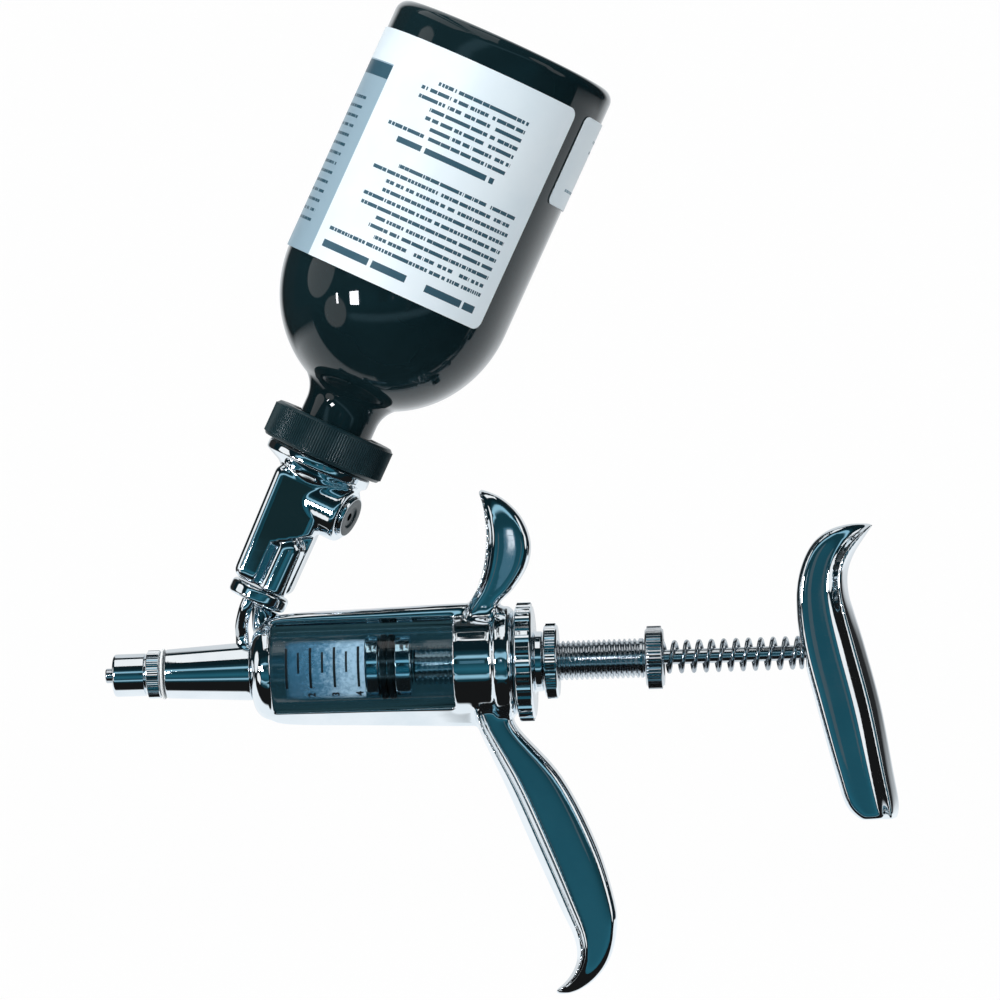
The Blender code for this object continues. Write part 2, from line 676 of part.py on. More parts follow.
def stub_mesh():
    """The short post that carries the elbow: upright at the frame, leaning with the elbow's foot at its top."""
    low, high = [], []
    count = FINE
    for step in range(count):
        angle = 2 * math.pi * step / count
        east, north = math.cos(angle), math.sin(angle)
        low.append((STUB_X + STUB_BASE_RADIUS * east, STUB_BASE_RADIUS * north, SHELL_RADIUS - 2 * MM))
        centre = at(FOOT_BOTTOM - GAP, STUD_RIGHT + 0.4 * MM, STUD_BACK / 2)
        high.append(in_world(centre + Vector((0, north, -east)) * STUB_TOP_RADIUS))
    return lofted_mesh("stub", [low, high])


# Barrel


def barrel_pieces(finishes):
    bore = tube_outline(BARREL_FRONT, BARREL_REAR, BORE_RADIUS, BARREL_RADIUS)
    turned("glass_barrel", bore, finishes["clear_glass"], BROAD)
    front = tube_outline(SEAT_FLOOR + GAP, BARREL_FRONT - GAP, SPIGOT_HOLE + GAP, BARREL_RADIUS)
    turned("front_barrel_seal", front, finishes["black_rubber"])
    rear = tube_outline(BARREL_REAR + GAP, CAP_FRONT - GAP, BORE_RADIUS - 1 * MM, BARREL_RADIUS)
    turned("rear_barrel_seal", rear, finishes["black_rubber"])


def barrel_cap(finish):
    rim_rear = CAP_RIM_FRONT + CAP_RIM_LENGTH
    outline = [
        (CAP_FRONT, CAP_BORE), (CAP_FRONT, CAP_SPIGOT_RADIUS), (CAP_RIM_FRONT, CAP_SPIGOT_RADIUS),
        (CAP_RIM_FRONT, CAP_RIM_RADIUS - 0.8 * MM), (CAP_RIM_FRONT + 0.8 * MM, CAP_RIM_RADIUS),
        (rim_rear - 0.8 * MM, CAP_RIM_RADIUS), (rim_rear, CAP_RIM_RADIUS - 0.8 * MM),
        (rim_rear, CAP_HUB_RADIUS), (CAP_HUB_REAR, CAP_HUB_RADIUS), (CAP_HUB_REAR, CAP_BORE),
    ]
    turned(
        "barrel_cap", outline, finish, 2 * CAP_NOTCHES,
        teeth_from=CAP_RIM_RADIUS - 1 * MM, tooth_depth=NOTCH_DEPTH, stretch=(CAP_RIM_FRONT, rim_rear),
    )


# Nozzle


def valve_body(finish):
    mouth = NOZZLE_THREAD_FRONT
    outline = [
        (mouth, VALVE_CHAMBER), (mouth, NOZZLE_THREAD_RADIUS), (BODY_FRONT, NOZZLE_THREAD_RADIUS),
        (BODY_FRONT, BODY_FRONT_RADIUS - 0.3 * MM), (BODY_FRONT + 0.4 * MM, BODY_FRONT_RADIUS),
        (BODY_REAR, BODY_REAR_RADIUS), (BODY_REAR, BODY_SPIGOT_RADIUS), (SPIGOT_REAR, BODY_SPIGOT_RADIUS),
        (SPIGOT_REAR, VALVE_SEAT_BORE), (VALVE_SEAT, VALVE_SEAT_BORE), (VALVE_SEAT, VALVE_CHAMBER),
    ]
    body = turned("valve_body", outline, finish)
    socket_floor = BODY_SPIGOT_RADIUS + GAP
    drill(body, (TUBE_X, 0, 2 * BODY_REAR_RADIUS), (TUBE_X, 0, socket_floor), TUBE_HOLE)
    drill(body, (TUBE_X, 0, socket_floor + 1 * MM), (TUBE_X, 0, 0), TUBE_BORE, segments=12)


def nozzle_pieces(finishes):
    white = tube_outline(NUT_REAR + GAP, BODY_FRONT - GAP, NOZZLE_THREAD_RADIUS + GAP, BODY_FRONT_RADIUS + 0.2 * MM)
    turned("nozzle_washer", white, finishes["white_plastic"])
    knurl_front = NUT_REAR - KNURL_LENGTH
    nut = [
        (NUT_FRONT, NIPPLE_RADIUS + GAP), (NUT_FRONT, NUT_RADIUS - 0.8 * MM), (NUT_FRONT + 0.8 * MM, NUT_RADIUS),
        (knurl_front, NUT_RADIUS), (knurl_front, KNURL_RADIUS - 0.2 * MM), (knurl_front + 0.2 * MM, KNURL_RADIUS),
        (NUT_REAR - 0.2 * MM, KNURL_RADIUS), (NUT_REAR, KNURL_RADIUS - 0.2 * MM), (NUT_REAR, NUT_BORE),
        (NUT_FRONT + NUT_FRONT_WALL, NUT_BORE), (NUT_FRONT + NUT_FRONT_WALL, NIPPLE_RADIUS + GAP),
    ]
    turned(
        "needle_nut", nut, finishes["chrome"], 2 * KNURL_TEETH, teeth_from=NUT_RADIUS + 0.1 * MM,
        tooth_depth=KNURL_DEPTH, stretch=(knurl_front, NUT_REAR),
    )
    shoulder_front = NUT_FRONT + NUT_FRONT_WALL + GAP
    stem_end = VALVE_SEAT - GAP - VALVE_HEAD_LENGTH - VALVE_STEM_LENGTH
    adapter_rear = stem_end - 2.0 * MM
    adapter = [
        (NUT_FRONT - NIPPLE_LENGTH, NEEDLE_BORE), (NUT_FRONT - NIPPLE_LENGTH, NIPPLE_RADIUS - 0.2 * MM),
        (NUT_FRONT - NIPPLE_LENGTH + 0.2 * MM, NIPPLE_RADIUS), (shoulder_front, NIPPLE_RADIUS),
        (shoulder_front, NOZZLE_THREAD_RADIUS), (NOZZLE_THREAD_FRONT - GAP, NOZZLE_THREAD_RADIUS),
        (NOZZLE_THREAD_FRONT - GAP, VALVE_CHAMBER - GAP), (adapter_rear, VALVE_CHAMBER - GAP),
        (adapter_rear, NEEDLE_BORE),
    ]
    turned("needle_adapter", adapter, finishes["steel"], FINE)
    valve(
        "delivery_valve", VALVE_SEAT - GAP, -1, VALVE_HEAD_RADIUS, VALVE_HEAD_LENGTH, VALVE_STEM_RADIUS,
        VALVE_STEM_LENGTH, finishes["steel"],
    )
    spring_rear = VALVE_SEAT - 2 * GAP - VALVE_HEAD_LENGTH
    points = coil_points(adapter_rear + GAP + VALVE_SPRING_WIRE, spring_rear - VALVE_SPRING_WIRE, 1.5 * MM, 5, 1.2 * MM)
    spring("delivery_spring", points, VALVE_SPRING_WIRE, finishes["steel"])


def valve(name, seat, way, head_radius, head_length, stem_radius, stem_length, finish, parent=None, matrix=None):
    """A mushroom valve whose flat face is at seat and whose stem points along way, +1 or -1 along the axis."""
    outline = [
        (seat, 0.0), (seat, head_radius - 0.3 * MM), (seat + way * 0.3 * MM, head_radius),
        (seat + way * head_length, head_radius), (seat + way * head_length, stem_radius),
        (seat + way * (head_length + stem_length), stem_radius), (seat + way * (head_length + stem_length), 0.0),
    ]
    obj = turned(name, outline, finish, FINE, parent)
    if matrix is not None:
        obj.matrix_local = matrix
    return obj


def feed_tube(finish):
    """From the socket in the valve body up to the socket in the elbow's foot."""
    foot_end = at(FOOT_BOTTOM + TUBE_SOCKET_DEPTH - GAP, SOCKET_LEFT, -SOCKET_FORWARD)
    below_foot = in_world(foot_end - Vector((2.6 * MM, 0, 0)))
    top = in_world(foot_end)
    low = Vector((TUBE_X, 0, BODY_SPIGOT_RADIUS + 2 * GAP))
    rise = below_foot.z - low.z
    control = [
        low,
        low + Vector((0, 0, 0.25 * rise)),
        low + Vector((0.1 * MM, -0.3 * SOCKET_FORWARD, 0.52 * rise)),
        Vector((low.x + 0.5 * (below_foot.x - low.x), -0.72 * SOCKET_FORWARD, low.z + 0.78 * rise)),
        below_foot,
        top,
    ]
    path = smooth_line([point / MM for point in control], 12)
    place("feed_tube", piped_mesh("feed_tube", path, TUBE_RADIUS, TUBE_BORE, TUBE_SIDES), finish)


# Elbow and vent


def elbow_foot(finish, bottle_axis):
    foot = turned(
        "elbow_foot", rod_outline(FOOT_BOTTOM, FOOT_TOP, FOOT_RADIUS, 1.0 * MM), finish, MEDIUM, bottle_axis
    )
    channel = (FOOT_BOTTOM + FOOT_TOP) / 2 + 0.7 * MM
    socket = (SOCKET_LEFT, -SOCKET_FORWARD)
    chamber = (CHAMBER_RIGHT, -CHAMBER_FORWARD)
    drill(foot, at(FOOT_BOTTOM - 1 * MM, *socket), at(FOOT_BOTTOM + TUBE_SOCKET_DEPTH, *socket), TUBE_HOLE, bottle_axis)
    drill(foot, at(FOOT_BOTTOM, *socket), at(channel, *socket), TUBE_BORE, bottle_axis, 12)
    drill(foot, at(channel, *socket), at(channel, *chamber), TUBE_BORE * 0.8, bottle_axis, 12)
    drill(foot, at(channel - 0.3 * MM, *chamber), at(FOOT_TOP + 1 * MM, *chamber), TUBE_BORE, bottle_axis, 12)
    stud = (STUD_RIGHT, STUD_BACK)
    drill(foot, at(FOOT_BOTTOM - 1 * MM, *stud), at(FOOT_TOP + 1 * MM, *stud), STUD_RADIUS + GAP, bottle_axis)


def bottle_elbow(finish, bottle_axis):
    side = [(0.0, -BLOCK_RIGHT), (0.0, BLOCK_LEFT), (BLOCK_LENGTH, BLOCK_TOP_LEFT), (BLOCK_LENGTH, -BLOCK_RIGHT)]
    block = prism_mesh("bottle_elbow", side, -BLOCK_FRONT, BLOCK_BACK, BLOCK_ROUND)
    elbow = place("bottle_elbow", block, finish, bottle_axis)
    recess = [
        (-5 * MM, RECESS_LEFT),
        (RECESS_TOP - RECESS_SLOPE * RECESS_LEFT, RECESS_LEFT),
        (RECESS_TOP + RECESS_SLOPE * 2 * BLOCK_RIGHT, -2 * BLOCK_RIGHT),
        (-5 * MM, -2 * BLOCK_RIGHT),
    ]
    cut(elbow, prism_mesh("recess", recess, -2 * BLOCK_FRONT, -CHAMBER_FORWARD), bottle_axis)
    dome = arc((CHAMBER_LENGTH - 0.2 * MM, 0.0), CHAMBER_BOSS_RADIUS, 90, 0, 5)
    chamber_boss = [(0.0, 0.0), (0.0, CHAMBER_BOSS_RADIUS)] + dome[:-1] + [(dome[-1][0], 0.0)]
    join(
        elbow, turned_mesh("chamber_boss", chamber_boss, MEDIUM), bottle_axis,
        Matrix.Translation(at(0.0, CHAMBER_RIGHT, -CHAMBER_FORWARD)),
    )
    join(elbow, turned_mesh("vent_boss", rod_outline(0.0, VENT_REACH, VENT_BOSS_RADIUS, 1.2 * MM), MEDIUM),
         bottle_axis, vent_matrix())
    flange = [
        (BLOCK_LENGTH - 2.0 * MM, 0.0), (BLOCK_LENGTH - 2.0 * MM, BLOCK_BACK),
        (BLOCK_LENGTH + 0.2 * MM, BLOCK_TOP_LEFT + 0.7 * MM), (FLANGE_TOP - FLANGE_LENGTH, FLANGE_RADIUS - 1.6 * MM),
        (FLANGE_TOP - FLANGE_LENGTH + 0.9 * MM, FLANGE_RADIUS), (FLANGE_TOP - 0.3 * MM, FLANGE_RADIUS),
        (FLANGE_TOP, FLANGE_RADIUS - 0.3 * MM), (FLANGE_TOP, CUP_OUTER), (CUP_TOP, CUP_OUTER), (CUP_TOP, 0.0),
    ]
    join(elbow, turned_mesh("flange", flange, BROAD), bottle_axis)
    cut(elbow, turned_mesh("cup", rod_outline(CUP_BOTTOM, CUP_TOP + 2 * MM, CUP_RADIUS), BROAD), bottle_axis)
    cross = CHAMBER_LENGTH + 1.2 * MM
    drill(elbow, at(cross - 0.6 * MM), at(CUP_BOTTOM + 1 * MM), SPIKE_HOLE, bottle_axis)
    chamber = (CHAMBER_RIGHT, -CHAMBER_FORWARD)
    drill(elbow, at(cross), at(CHAMBER_LENGTH - 0.8 * MM, *chamber), 0.8 * MM, bottle_axis, 12)
    drill(elbow, at(-1 * MM, *chamber), at(CHAMBER_LENGTH, *chamber), CHAMBER_RADIUS, bottle_axis)
    stud = (STUD_RIGHT, STUD_BACK)
    drill(elbow, at(-1 * MM, *stud), at(STUD_LENGTH, *stud), STUD_RADIUS + GAP, bottle_axis)
    centre = at(VENT_STATION)
    way = vent_direction()
    drill(elbow, centre + way * (VENT_REACH + 1 * MM), centre + way * (VENT_REACH - VENT_DEPTH), VENT_BORE, bottle_axis)
    air = at(VENT_STATION, AIR_RIGHT, -AIR_RIGHT * math.tan(VENT_TURN))
    drill(elbow, centre + way * VENT_REACH * 0.9, air, AIR_RADIUS, bottle_axis, 12)
    top = Vector((CUP_BOTTOM + 1 * MM, air.y, air.z))
    drill(elbow, air, top, AIR_HOLE, bottle_axis, 12)


def vent_matrix():
    turn = vent_direction().to_track_quat("X", "Z").to_matrix().to_4x4()
    return Matrix.Translation(at(VENT_STATION)) @ turn


def vent_pieces(finishes, bottle_axis):
    floor = VENT_REACH - VENT_DEPTH
    disc_front = floor + GAP + VENT_DISC_LIFT
    disc = turned(
        "vent_disc", rod_outline(disc_front, disc_front + VENT_DISC_THICKNESS, VENT_BORE - 2 * GAP),
        finishes["black_rubber"], FINE, bottle_axis,
    )
    disc.matrix_local = vent_matrix()
    plug = [
        (disc_front + VENT_DISC_THICKNESS + GAP, 0.9 * MM), (disc_front + VENT_DISC_THICKNESS + GAP, VENT_BORE - GAP),
        (VENT_REACH + GAP, VENT_BORE - GAP), (VENT_REACH + GAP, VENT_BOSS_RADIUS - 1.4 * MM),
        (VENT_REACH + VENT_PLUG_HEAD, VENT_BOSS_RADIUS - 1.9 * MM), (VENT_REACH + VENT_PLUG_HEAD, 0.9 * MM),
    ]
    cap = turned("vent_plug", plug, finishes["chrome"], FINE, bottle_axis)
    cap.matrix_local = vent_matrix()


def inlet_valve_pieces(finish, bottle_axis):
    chamber = Matrix.Translation(at(0.0, CHAMBER_RIGHT, -CHAMBER_FORWARD))
    seat = CHAMBER_LENGTH - GAP
    valve(
        "inlet_valve", seat, -1, CHAMBER_RADIUS - 1.4 * GAP, 0.9 * MM, 0.6 * MM, 4.5 * MM, finish, bottle_axis,
        chamber,
    )
    wire = VALVE_SPRING_WIRE
    points = coil_points(FOOT_TOP + GAP + wire, seat - 0.9 * MM - GAP - wire, 1.25 * MM, 6, 1.2 * MM)
    coil = spring("inlet_spring", points, wire, finish, bottle_axis)
    coil.matrix_local = chamber


# Bottle


def shoulder_outline(neck, full, fillet, steps):
    """The bottle's neck and shoulder from the ring up: a fillet at the neck, then part of an ellipse out to the
    full radius."""
    start = SHOULDER_TOP - SHOULDER_LENGTH - NECK_ROUND
    points = []
    for step in range(4):
        angle = math.radians(16 * step)
        points.append((start + fillet * math.sin(angle), neck + fillet * (1 - math.cos(angle))))
    low_station, low_radius = points[-1]
    lowest = math.degrees(math.asin(low_radius / full))
    for step in range(1, steps + 1):
        angle = math.radians(lowest + (90 - lowest) * step / steps)
        share = (math.cos(math.radians(lowest)) - math.cos(angle)) / math.cos(math.radians(lowest))
        points.append((low_station + (SHOULDER_TOP - low_station) * share, full * math.sin(angle)))
    return points


def bottle_pieces(finishes, bottle_axis):
    outer = [(MOUTH, NECK_BORE), (MOUTH, FINISH_RADIUS), (FINISH_TOP, FINISH_RADIUS), (FINISH_TOP, NECK_RADIUS)]
    outer += shoulder_outline(NECK_RADIUS, BOTTLE_RADIUS, NECK_ROUND, 5)
    outer += arc((BOTTLE_BASE - BASE_ROUND, BOTTLE_RADIUS - BASE_ROUND), BASE_ROUND, 90, 0, 3)
    outer += [(BOTTLE_BASE, 0.0)]
    floor = BOTTLE_BASE - BOTTLE_FLOOR
    inner_radius = BOTTLE_RADIUS - BOTTLE_WALL
    inner = [(floor, 0.0)]
    inner += arc((floor - BASE_ROUND, inner_radius - BASE_ROUND), BASE_ROUND, 0, 90, 2)
    inner += reversed(shoulder_outline(NECK_BORE, inner_radius, NECK_ROUND + BOTTLE_WALL, 3))
    # The outline runs from the axis outside the base, round the mouth, to the axis inside
    turned("bottle", outer[::-1] + inner[::-1], finishes["dark_glass"], BROAD, bottle_axis)


def closure_pieces(finishes, bottle_axis):
    crimp = [
        (CRIMP_BOTTOM, CRIMP_OPENING), (CRIMP_BOTTOM, CRIMP_RADIUS), (CRIMP_TOP, CRIMP_RADIUS),
        (CRIMP_TOP, NECK_RADIUS + GAP), (CRIMP_TOP - CRIMP_WALL, NECK_RADIUS + GAP),
        (CRIMP_TOP - CRIMP_WALL, CRIMP_RADIUS - CRIMP_WALL),
        (CRIMP_BOTTOM + CRIMP_WALL, CRIMP_RADIUS - CRIMP_WALL), (CRIMP_BOTTOM + CRIMP_WALL, CRIMP_OPENING),
    ]
    turned("crimp_collar", crimp, finishes["aluminium"], MEDIUM, bottle_axis)
    top = MOUTH - GAP + STOPPER_PLUG_LENGTH
    bung = [
        (STOPPER_BOTTOM, 0.0), (STOPPER_BOTTOM, FINISH_RADIUS - 0.2 * MM), (MOUTH - GAP, FINISH_RADIUS - 0.2 * MM),
        (MOUTH - GAP, STOPPER_PLUG), (top - 0.8 * MM, STOPPER_PLUG), (top, STOPPER_PLUG - 0.8 * MM), (top, 0.0),
    ]
    stopper = turned("stopper", bung, finishes["grey_rubber"], MEDIUM, bottle_axis)
    low, high = STOPPER_BOTTOM - 1 * MM, top + 1 * MM
    drill(stopper, at(low), at(high), SPIKE_HOLE, bottle_axis, 12)
    air_back = -AIR_RIGHT * math.tan(VENT_TURN)
    drill(stopper, at(low, AIR_RIGHT, air_back), at(high, AIR_RIGHT, air_back), AIR_HOLE, bottle_axis, 12)
    spike = tube_outline(CUP_BOTTOM - 6 * MM, CUP_BOTTOM + SPIKE_REACH, SPIKE_BORE, SPIKE_RADIUS, 0.2 * MM)
    turned("draw_off_spike", spike, finishes["steel"], 12, bottle_axis)
    air = tube_outline(CUP_BOTTOM - 4 * MM, CUP_BOTTOM + AIR_REACH, AIR_BORE, AIR_RADIUS, 0.15 * MM)
    needle = turned("air_needle", air, finishes["steel"], 12, bottle_axis)
    needle.matrix_local = Matrix.Translation(at(0.0, AIR_RIGHT, air_back))


def bottle_ring_pieces(finishes, bottle_axis):
    sleeve_bottom = CUP_TOP + GAP
    sleeve_top = sleeve_bottom + SLEEVE_HEIGHT
    sleeve = tube_outline(sleeve_bottom, sleeve_top, CUP_RADIUS, CUP_OUTER)
    turned("grip_sleeve", sleeve, finishes["black_rubber"], MEDIUM, bottle_axis)
    thread_bore = CUP_OUTER + GAP
    lip_bore = CRIMP_RADIUS + 1.4 * GAP
    ring = [
        (RING_BOTTOM, thread_bore), (RING_BOTTOM, RING_RADIUS - 0.5 * MM), (RING_BOTTOM + 0.5 * MM, RING_RADIUS),
        (RING_TOP - 0.6 * MM, RING_RADIUS), (RING_TOP, RING_RADIUS - 0.6 * MM), (RING_TOP, lip_bore),
        (RING_TOP - RING_LIP, lip_bore), (RING_TOP - RING_LIP, thread_bore),
    ]
    turned(
        "bottle_ring", ring, finishes["black_plastic"], 2 * RING_TEETH, bottle_axis,
        teeth_from=RING_RADIUS - 0.55 * MM, tooth_depth=KNURL_DEPTH, stretch=(RING_BOTTOM, RING_TOP),
    )


def label(name, bottom, top, start, end, finish, bottle_axis):
    """A paper label round part of the bottle, from column start to end of the bottle's facets, counted from the
    side that faces the window and growing towards the palm handle."""
    inner = BOTTLE_RADIUS + LABEL_GAP
    rings = []
    for column in range(start, end + 1):
        angle = 2 * math.pi * column / BROAD
        back, right = -math.cos(angle), math.sin(angle)
        ring = []
        for station, radius in (
            (bottom, inner), (top, inner), (top, inner + LABEL_THICKNESS), (bottom, inner + LABEL_THICKNESS)
        ):
            ring.append(at(station, radius * right, radius * back))
        rings.append(ring)
    place(name, lofted_mesh(name, rings), finish, bottle_axis)


# Dose sleeve, piston, handle


def dose_pieces(finishes):
    nut = tube_outline(LOCK_NUT_FRONT, LOCK_NUT_FRONT + LOCK_NUT_LENGTH, CAP_BORE, LOCK_NUT_RADIUS, 0.5 * MM)
    turned(
        "lock_nut", nut, finishes["chrome"], 2 * KNURL_TEETH, teeth_from=LOCK_NUT_RADIUS - 0.6 * MM,
        tooth_depth=KNURL_DEPTH, stretch=(LOCK_NUT_FRONT, LOCK_NUT_FRONT + LOCK_NUT_LENGTH),
    )
    seat_radius = SPRING_RADIUS + SPRING_WIRE + GAP
    sleeve = [
        (SLEEVE_FRONT, ROD_HOLE), (SLEEVE_FRONT, THREAD_RADIUS - 0.4 * MM), (SLEEVE_FRONT + 0.4 * MM, THREAD_RADIUS),
        (SLEEVE_HEAD_FRONT, THREAD_RADIUS), (SLEEVE_HEAD_FRONT, SLEEVE_HEAD_RADIUS - 0.4 * MM),
        (SLEEVE_HEAD_FRONT + 0.4 * MM, SLEEVE_HEAD_RADIUS), (SLEEVE_REAR - 0.6 * MM, SLEEVE_HEAD_RADIUS),
        (SLEEVE_REAR, SLEEVE_HEAD_RADIUS - 0.6 * MM), (SLEEVE_REAR, seat_radius), (SPRING_SEAT, seat_radius),
        (SPRING_SEAT, ROD_HOLE),
    ]
    turned(
        "dose_sleeve", sleeve, finishes["chrome"], 2 * KNURL_TEETH, teeth_from=SLEEVE_HEAD_RADIUS - 0.65 * MM,
        tooth_depth=KNURL_DEPTH, stretch=(SLEEVE_HEAD_FRONT, SLEEVE_REAR),
    )
    washer_rear = SPRING_WASHER_FRONT + SPRING_WASHER_THICKNESS
    washer = tube_outline(SPRING_WASHER_FRONT, washer_rear, ROD_HOLE, seat_radius - GAP)
    turned("spring_washer", washer, finishes["steel"], FINE)
    points = coil_points(
        SPRING_FRONT + SPRING_WIRE, SPRING_REAR - SPRING_WIRE, SPRING_RADIUS, SPRING_TURNS, SPRING_END_PITCH
    )
    spring("main_spring", points, SPRING_WIRE, finishes["steel"])


def piston_pieces(finishes):
    ring_radius = BORE_RADIUS - RING_CLEARANCE - RING_SECTION
    groove_front = PISTON_FRONT + PISTON_FRONT_LAND
    groove_rear = groove_front + PISTON_GROOVE_LENGTH
    groove_floor = ring_radius - RING_SECTION - GAP
    outline = [
        (PISTON_FRONT, 0.0), (PISTON_FRONT, PISTON_LAND_RADIUS - 0.4 * MM), (PISTON_FRONT + 0.4 * MM, PISTON_LAND_RADIUS),
        (groove_front, PISTON_LAND_RADIUS), (groove_front, groove_floor), (groove_rear, groove_floor),
        (groove_rear, PISTON_LAND_RADIUS), (PISTON_REAR - 0.4 * MM, PISTON_LAND_RADIUS),
        (PISTON_REAR, PISTON_LAND_RADIUS - 0.4 * MM), (PISTON_REAR, ROD_HOLE), (ROD_FRONT - GAP, ROD_HOLE),
        (ROD_FRONT - GAP, 0.0),
    ]
    turned("piston", outline, finishes["chrome"])
    middle = (groove_front + groove_rear) / 2
    for name, way in (("piston_ring_front", -1), ("piston_ring_rear", 1)):
        centre = (middle + way * (RING_SECTION + GAP / 2), ring_radius)
        turned(name, arc(centre, RING_SECTION, 0, 360, 6)[:-1], finishes["black_rubber"])
    turned("plunger_rod", rod_outline(ROD_FRONT, ROD_REAR, ROD_RADIUS, 0.3 * MM), finishes["chrome"], FINE)


def palm_handle(finish):
    mesh = handle_mesh("palm_handle", PALM_FRONT, PALM_BACK, 15, PALM_WEB, PALM_WIDTH, True, (0.3, 0.12))
    handle = place("palm_handle", mesh, finish)
    drill(handle, (HANDLE_SEAT - 9 * MM, 0, 0), (HANDLE_SEAT, 0, 0), SPRING_COUNTERBORE)
    drill(handle, (HANDLE_SEAT - 1 * MM, 0, 0), (ROD_REAR + GAP, 0, 0), ROD_HOLE)


def main():
    clear_scene()
    finishes = make_finishes()
    bottle_axis = axis_empty("bottle_axis", AXIS_FOOT, (0, LEAN - math.pi / 2, 0))
    frame_casting(finishes["chrome"], bottle_axis)
    barrel_pieces(finishes)
    barrel_cap(finishes["chrome"])
    valve_body(finishes["chrome"])
    nozzle_pieces(finishes)
    feed_tube(finishes["chrome"])
    elbow_foot(finishes["chrome"], bottle_axis)
    bottle_elbow(finishes["chrome"], bottle_axis)
    vent_pieces(finishes, bottle_axis)
    inlet_valve_pieces(finishes["steel"], bottle_axis)
    bottle_pieces(finishes, bottle_axis)
    closure_pieces(finishes, bottle_axis)
    bottle_ring_pieces(finishes, bottle_axis)
    label("bottle_label", LABEL_BOTTOM, LABEL_TOP, -15, 6, finishes["white_paper"], bottle_axis)
    label("side_label", LABEL_TOP - SIDE_LABEL_HEIGHT, LABEL_TOP, 7, 17, finishes["white_paper"], bottle_axis)
    dose_pieces(finishes)
    piston_pieces(finishes)
    palm_handle(finishes["chrome"])


main()
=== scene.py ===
"""Looks of the automatic vaccinator: chromed casting, glass barrel, threaded sleeve, handles and bottle."""

import math

import bmesh
import bpy
import numpy as np
from mathutils import Matrix, Vector


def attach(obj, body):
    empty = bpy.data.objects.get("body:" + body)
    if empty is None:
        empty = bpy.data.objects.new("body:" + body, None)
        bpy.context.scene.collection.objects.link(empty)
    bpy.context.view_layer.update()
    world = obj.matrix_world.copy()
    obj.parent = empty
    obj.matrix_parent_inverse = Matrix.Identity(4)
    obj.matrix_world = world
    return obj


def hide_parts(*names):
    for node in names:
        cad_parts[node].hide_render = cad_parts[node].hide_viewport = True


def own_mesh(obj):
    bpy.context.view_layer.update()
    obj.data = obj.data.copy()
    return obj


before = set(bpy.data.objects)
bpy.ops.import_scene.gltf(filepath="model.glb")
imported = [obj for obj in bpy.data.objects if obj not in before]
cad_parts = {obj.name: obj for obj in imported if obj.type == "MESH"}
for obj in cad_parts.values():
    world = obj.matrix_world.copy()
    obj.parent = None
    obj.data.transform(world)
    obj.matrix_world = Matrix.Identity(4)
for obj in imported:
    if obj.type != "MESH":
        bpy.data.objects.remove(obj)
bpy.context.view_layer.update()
MM = 0.001
TURN_STEPS = 128

# Stations along the syringe, in millimetres, as in the part
BORE_RADIUS, BARREL_RADIUS = 7.65, 9.25
BARREL_FRONT, BARREL_REAR = -49.0, -1.5
WINDOW_FRONT, COLLAR_FRONT = -47.5, -6.75
FRAME_FRONT = -52.5
SHELL_RADIUS, COLLAR_RADIUS, RIM_RADIUS = 11.2, 11.5, 12.7
SLEEVE_FRONT, SLEEVE_REAR = -16.12, 40.08
THREAD_RADIUS, THREAD_PITCH, ROD_HOLE = 4.45, 1.15, 1.97
SPRING_FRONT, SPRING_REAR = 37.98, 71.98

# The bottle leans on the frame along its own axis
BOTTLE_FOOT = Vector((-49.9, 0.0, 19.0)) * MM
BOTTLE_LEAN = math.radians(26.6)
ON_BOTTLE = Matrix.Translation(BOTTLE_FOOT) @ Matrix.Rotation(BOTTLE_LEAN - math.pi / 2, 4, "Y")
CHAMBER = Vector((0.0, -3.6, -2.4))
STUD = (1.8, -1.8)
TUBE_SOCKET = (-3.4, 1.2)


# Meshes

def added(name, data):
    """An object in the scene for a mesh, a curve, a lamp or the camera."""
    made = bpy.data.objects.new(name, data)
    bpy.context.scene.collection.objects.link(made)
    return made


def new_piece(name, points, faces, material, place=None, sharp=38.0):
    """A piece from points in millimetres, smooth but for edges sharper than the angle given."""
    mesh = bpy.data.meshes.new(name)
    mesh.from_pydata([Vector(point) * MM for point in points], [], faces)
    if place is not None:
        mesh.transform(place)
    mesh.materials.append(material)
    mesh.shade_smooth()
    mesh.set_sharp_from_angle(angle=math.radians(sharp))
    return added(name, mesh)


def made_from(work, name, material, place=None):
    """A piece from a mesh being worked on, which is freed."""
    mesh = bpy.data.meshes.new(name)
    work.to_mesh(mesh)
    work.free()
    if place is not None:
        mesh.transform(place)
    mesh.materials.append(material)
    return added(name, mesh)


def eased(corners, closed=False):
    """Points of a profile whose corners (x, r, ease) are rounded to their own radius."""
    points = []
    count = len(corners)
    for index, corner in enumerate(corners):
        here = Vector(corner[:2])
        ease = corner[2] if len(corner) > 2 else 0.0
        at_end = not closed and index in (0, count - 1)
        if ease <= 0 or at_end:
            points.append(tuple(here))
            continue
        before = Vector(corners[index - 1][:2])
        after = Vector(corners[(index + 1) % count][:2])
        to_before = (before - here).normalized()
        to_after = (after - here).normalized()
        half = to_before.angle(to_after) / 2
        reach = min(ease / math.tan(half), 0.48 * (before - here).length, 0.48 * (after - here).length)
        radius = reach * math.tan(half)
        centre = here + (to_before + to_after).normalized() * (radius / math.sin(half))
        first = here + to_before * reach - centre
        last = here + to_after * reach - centre
        swing = first.angle(last)
        steps = max(2, math.ceil(math.degrees(swing) / 18))
        for step in range(steps + 1):
            share = step / steps
            mix = (first * math.sin((1 - share) * swing) + last * math.sin(share * swing)) / math.sin(swing)
            points.append(tuple(centre + mix))
    return points


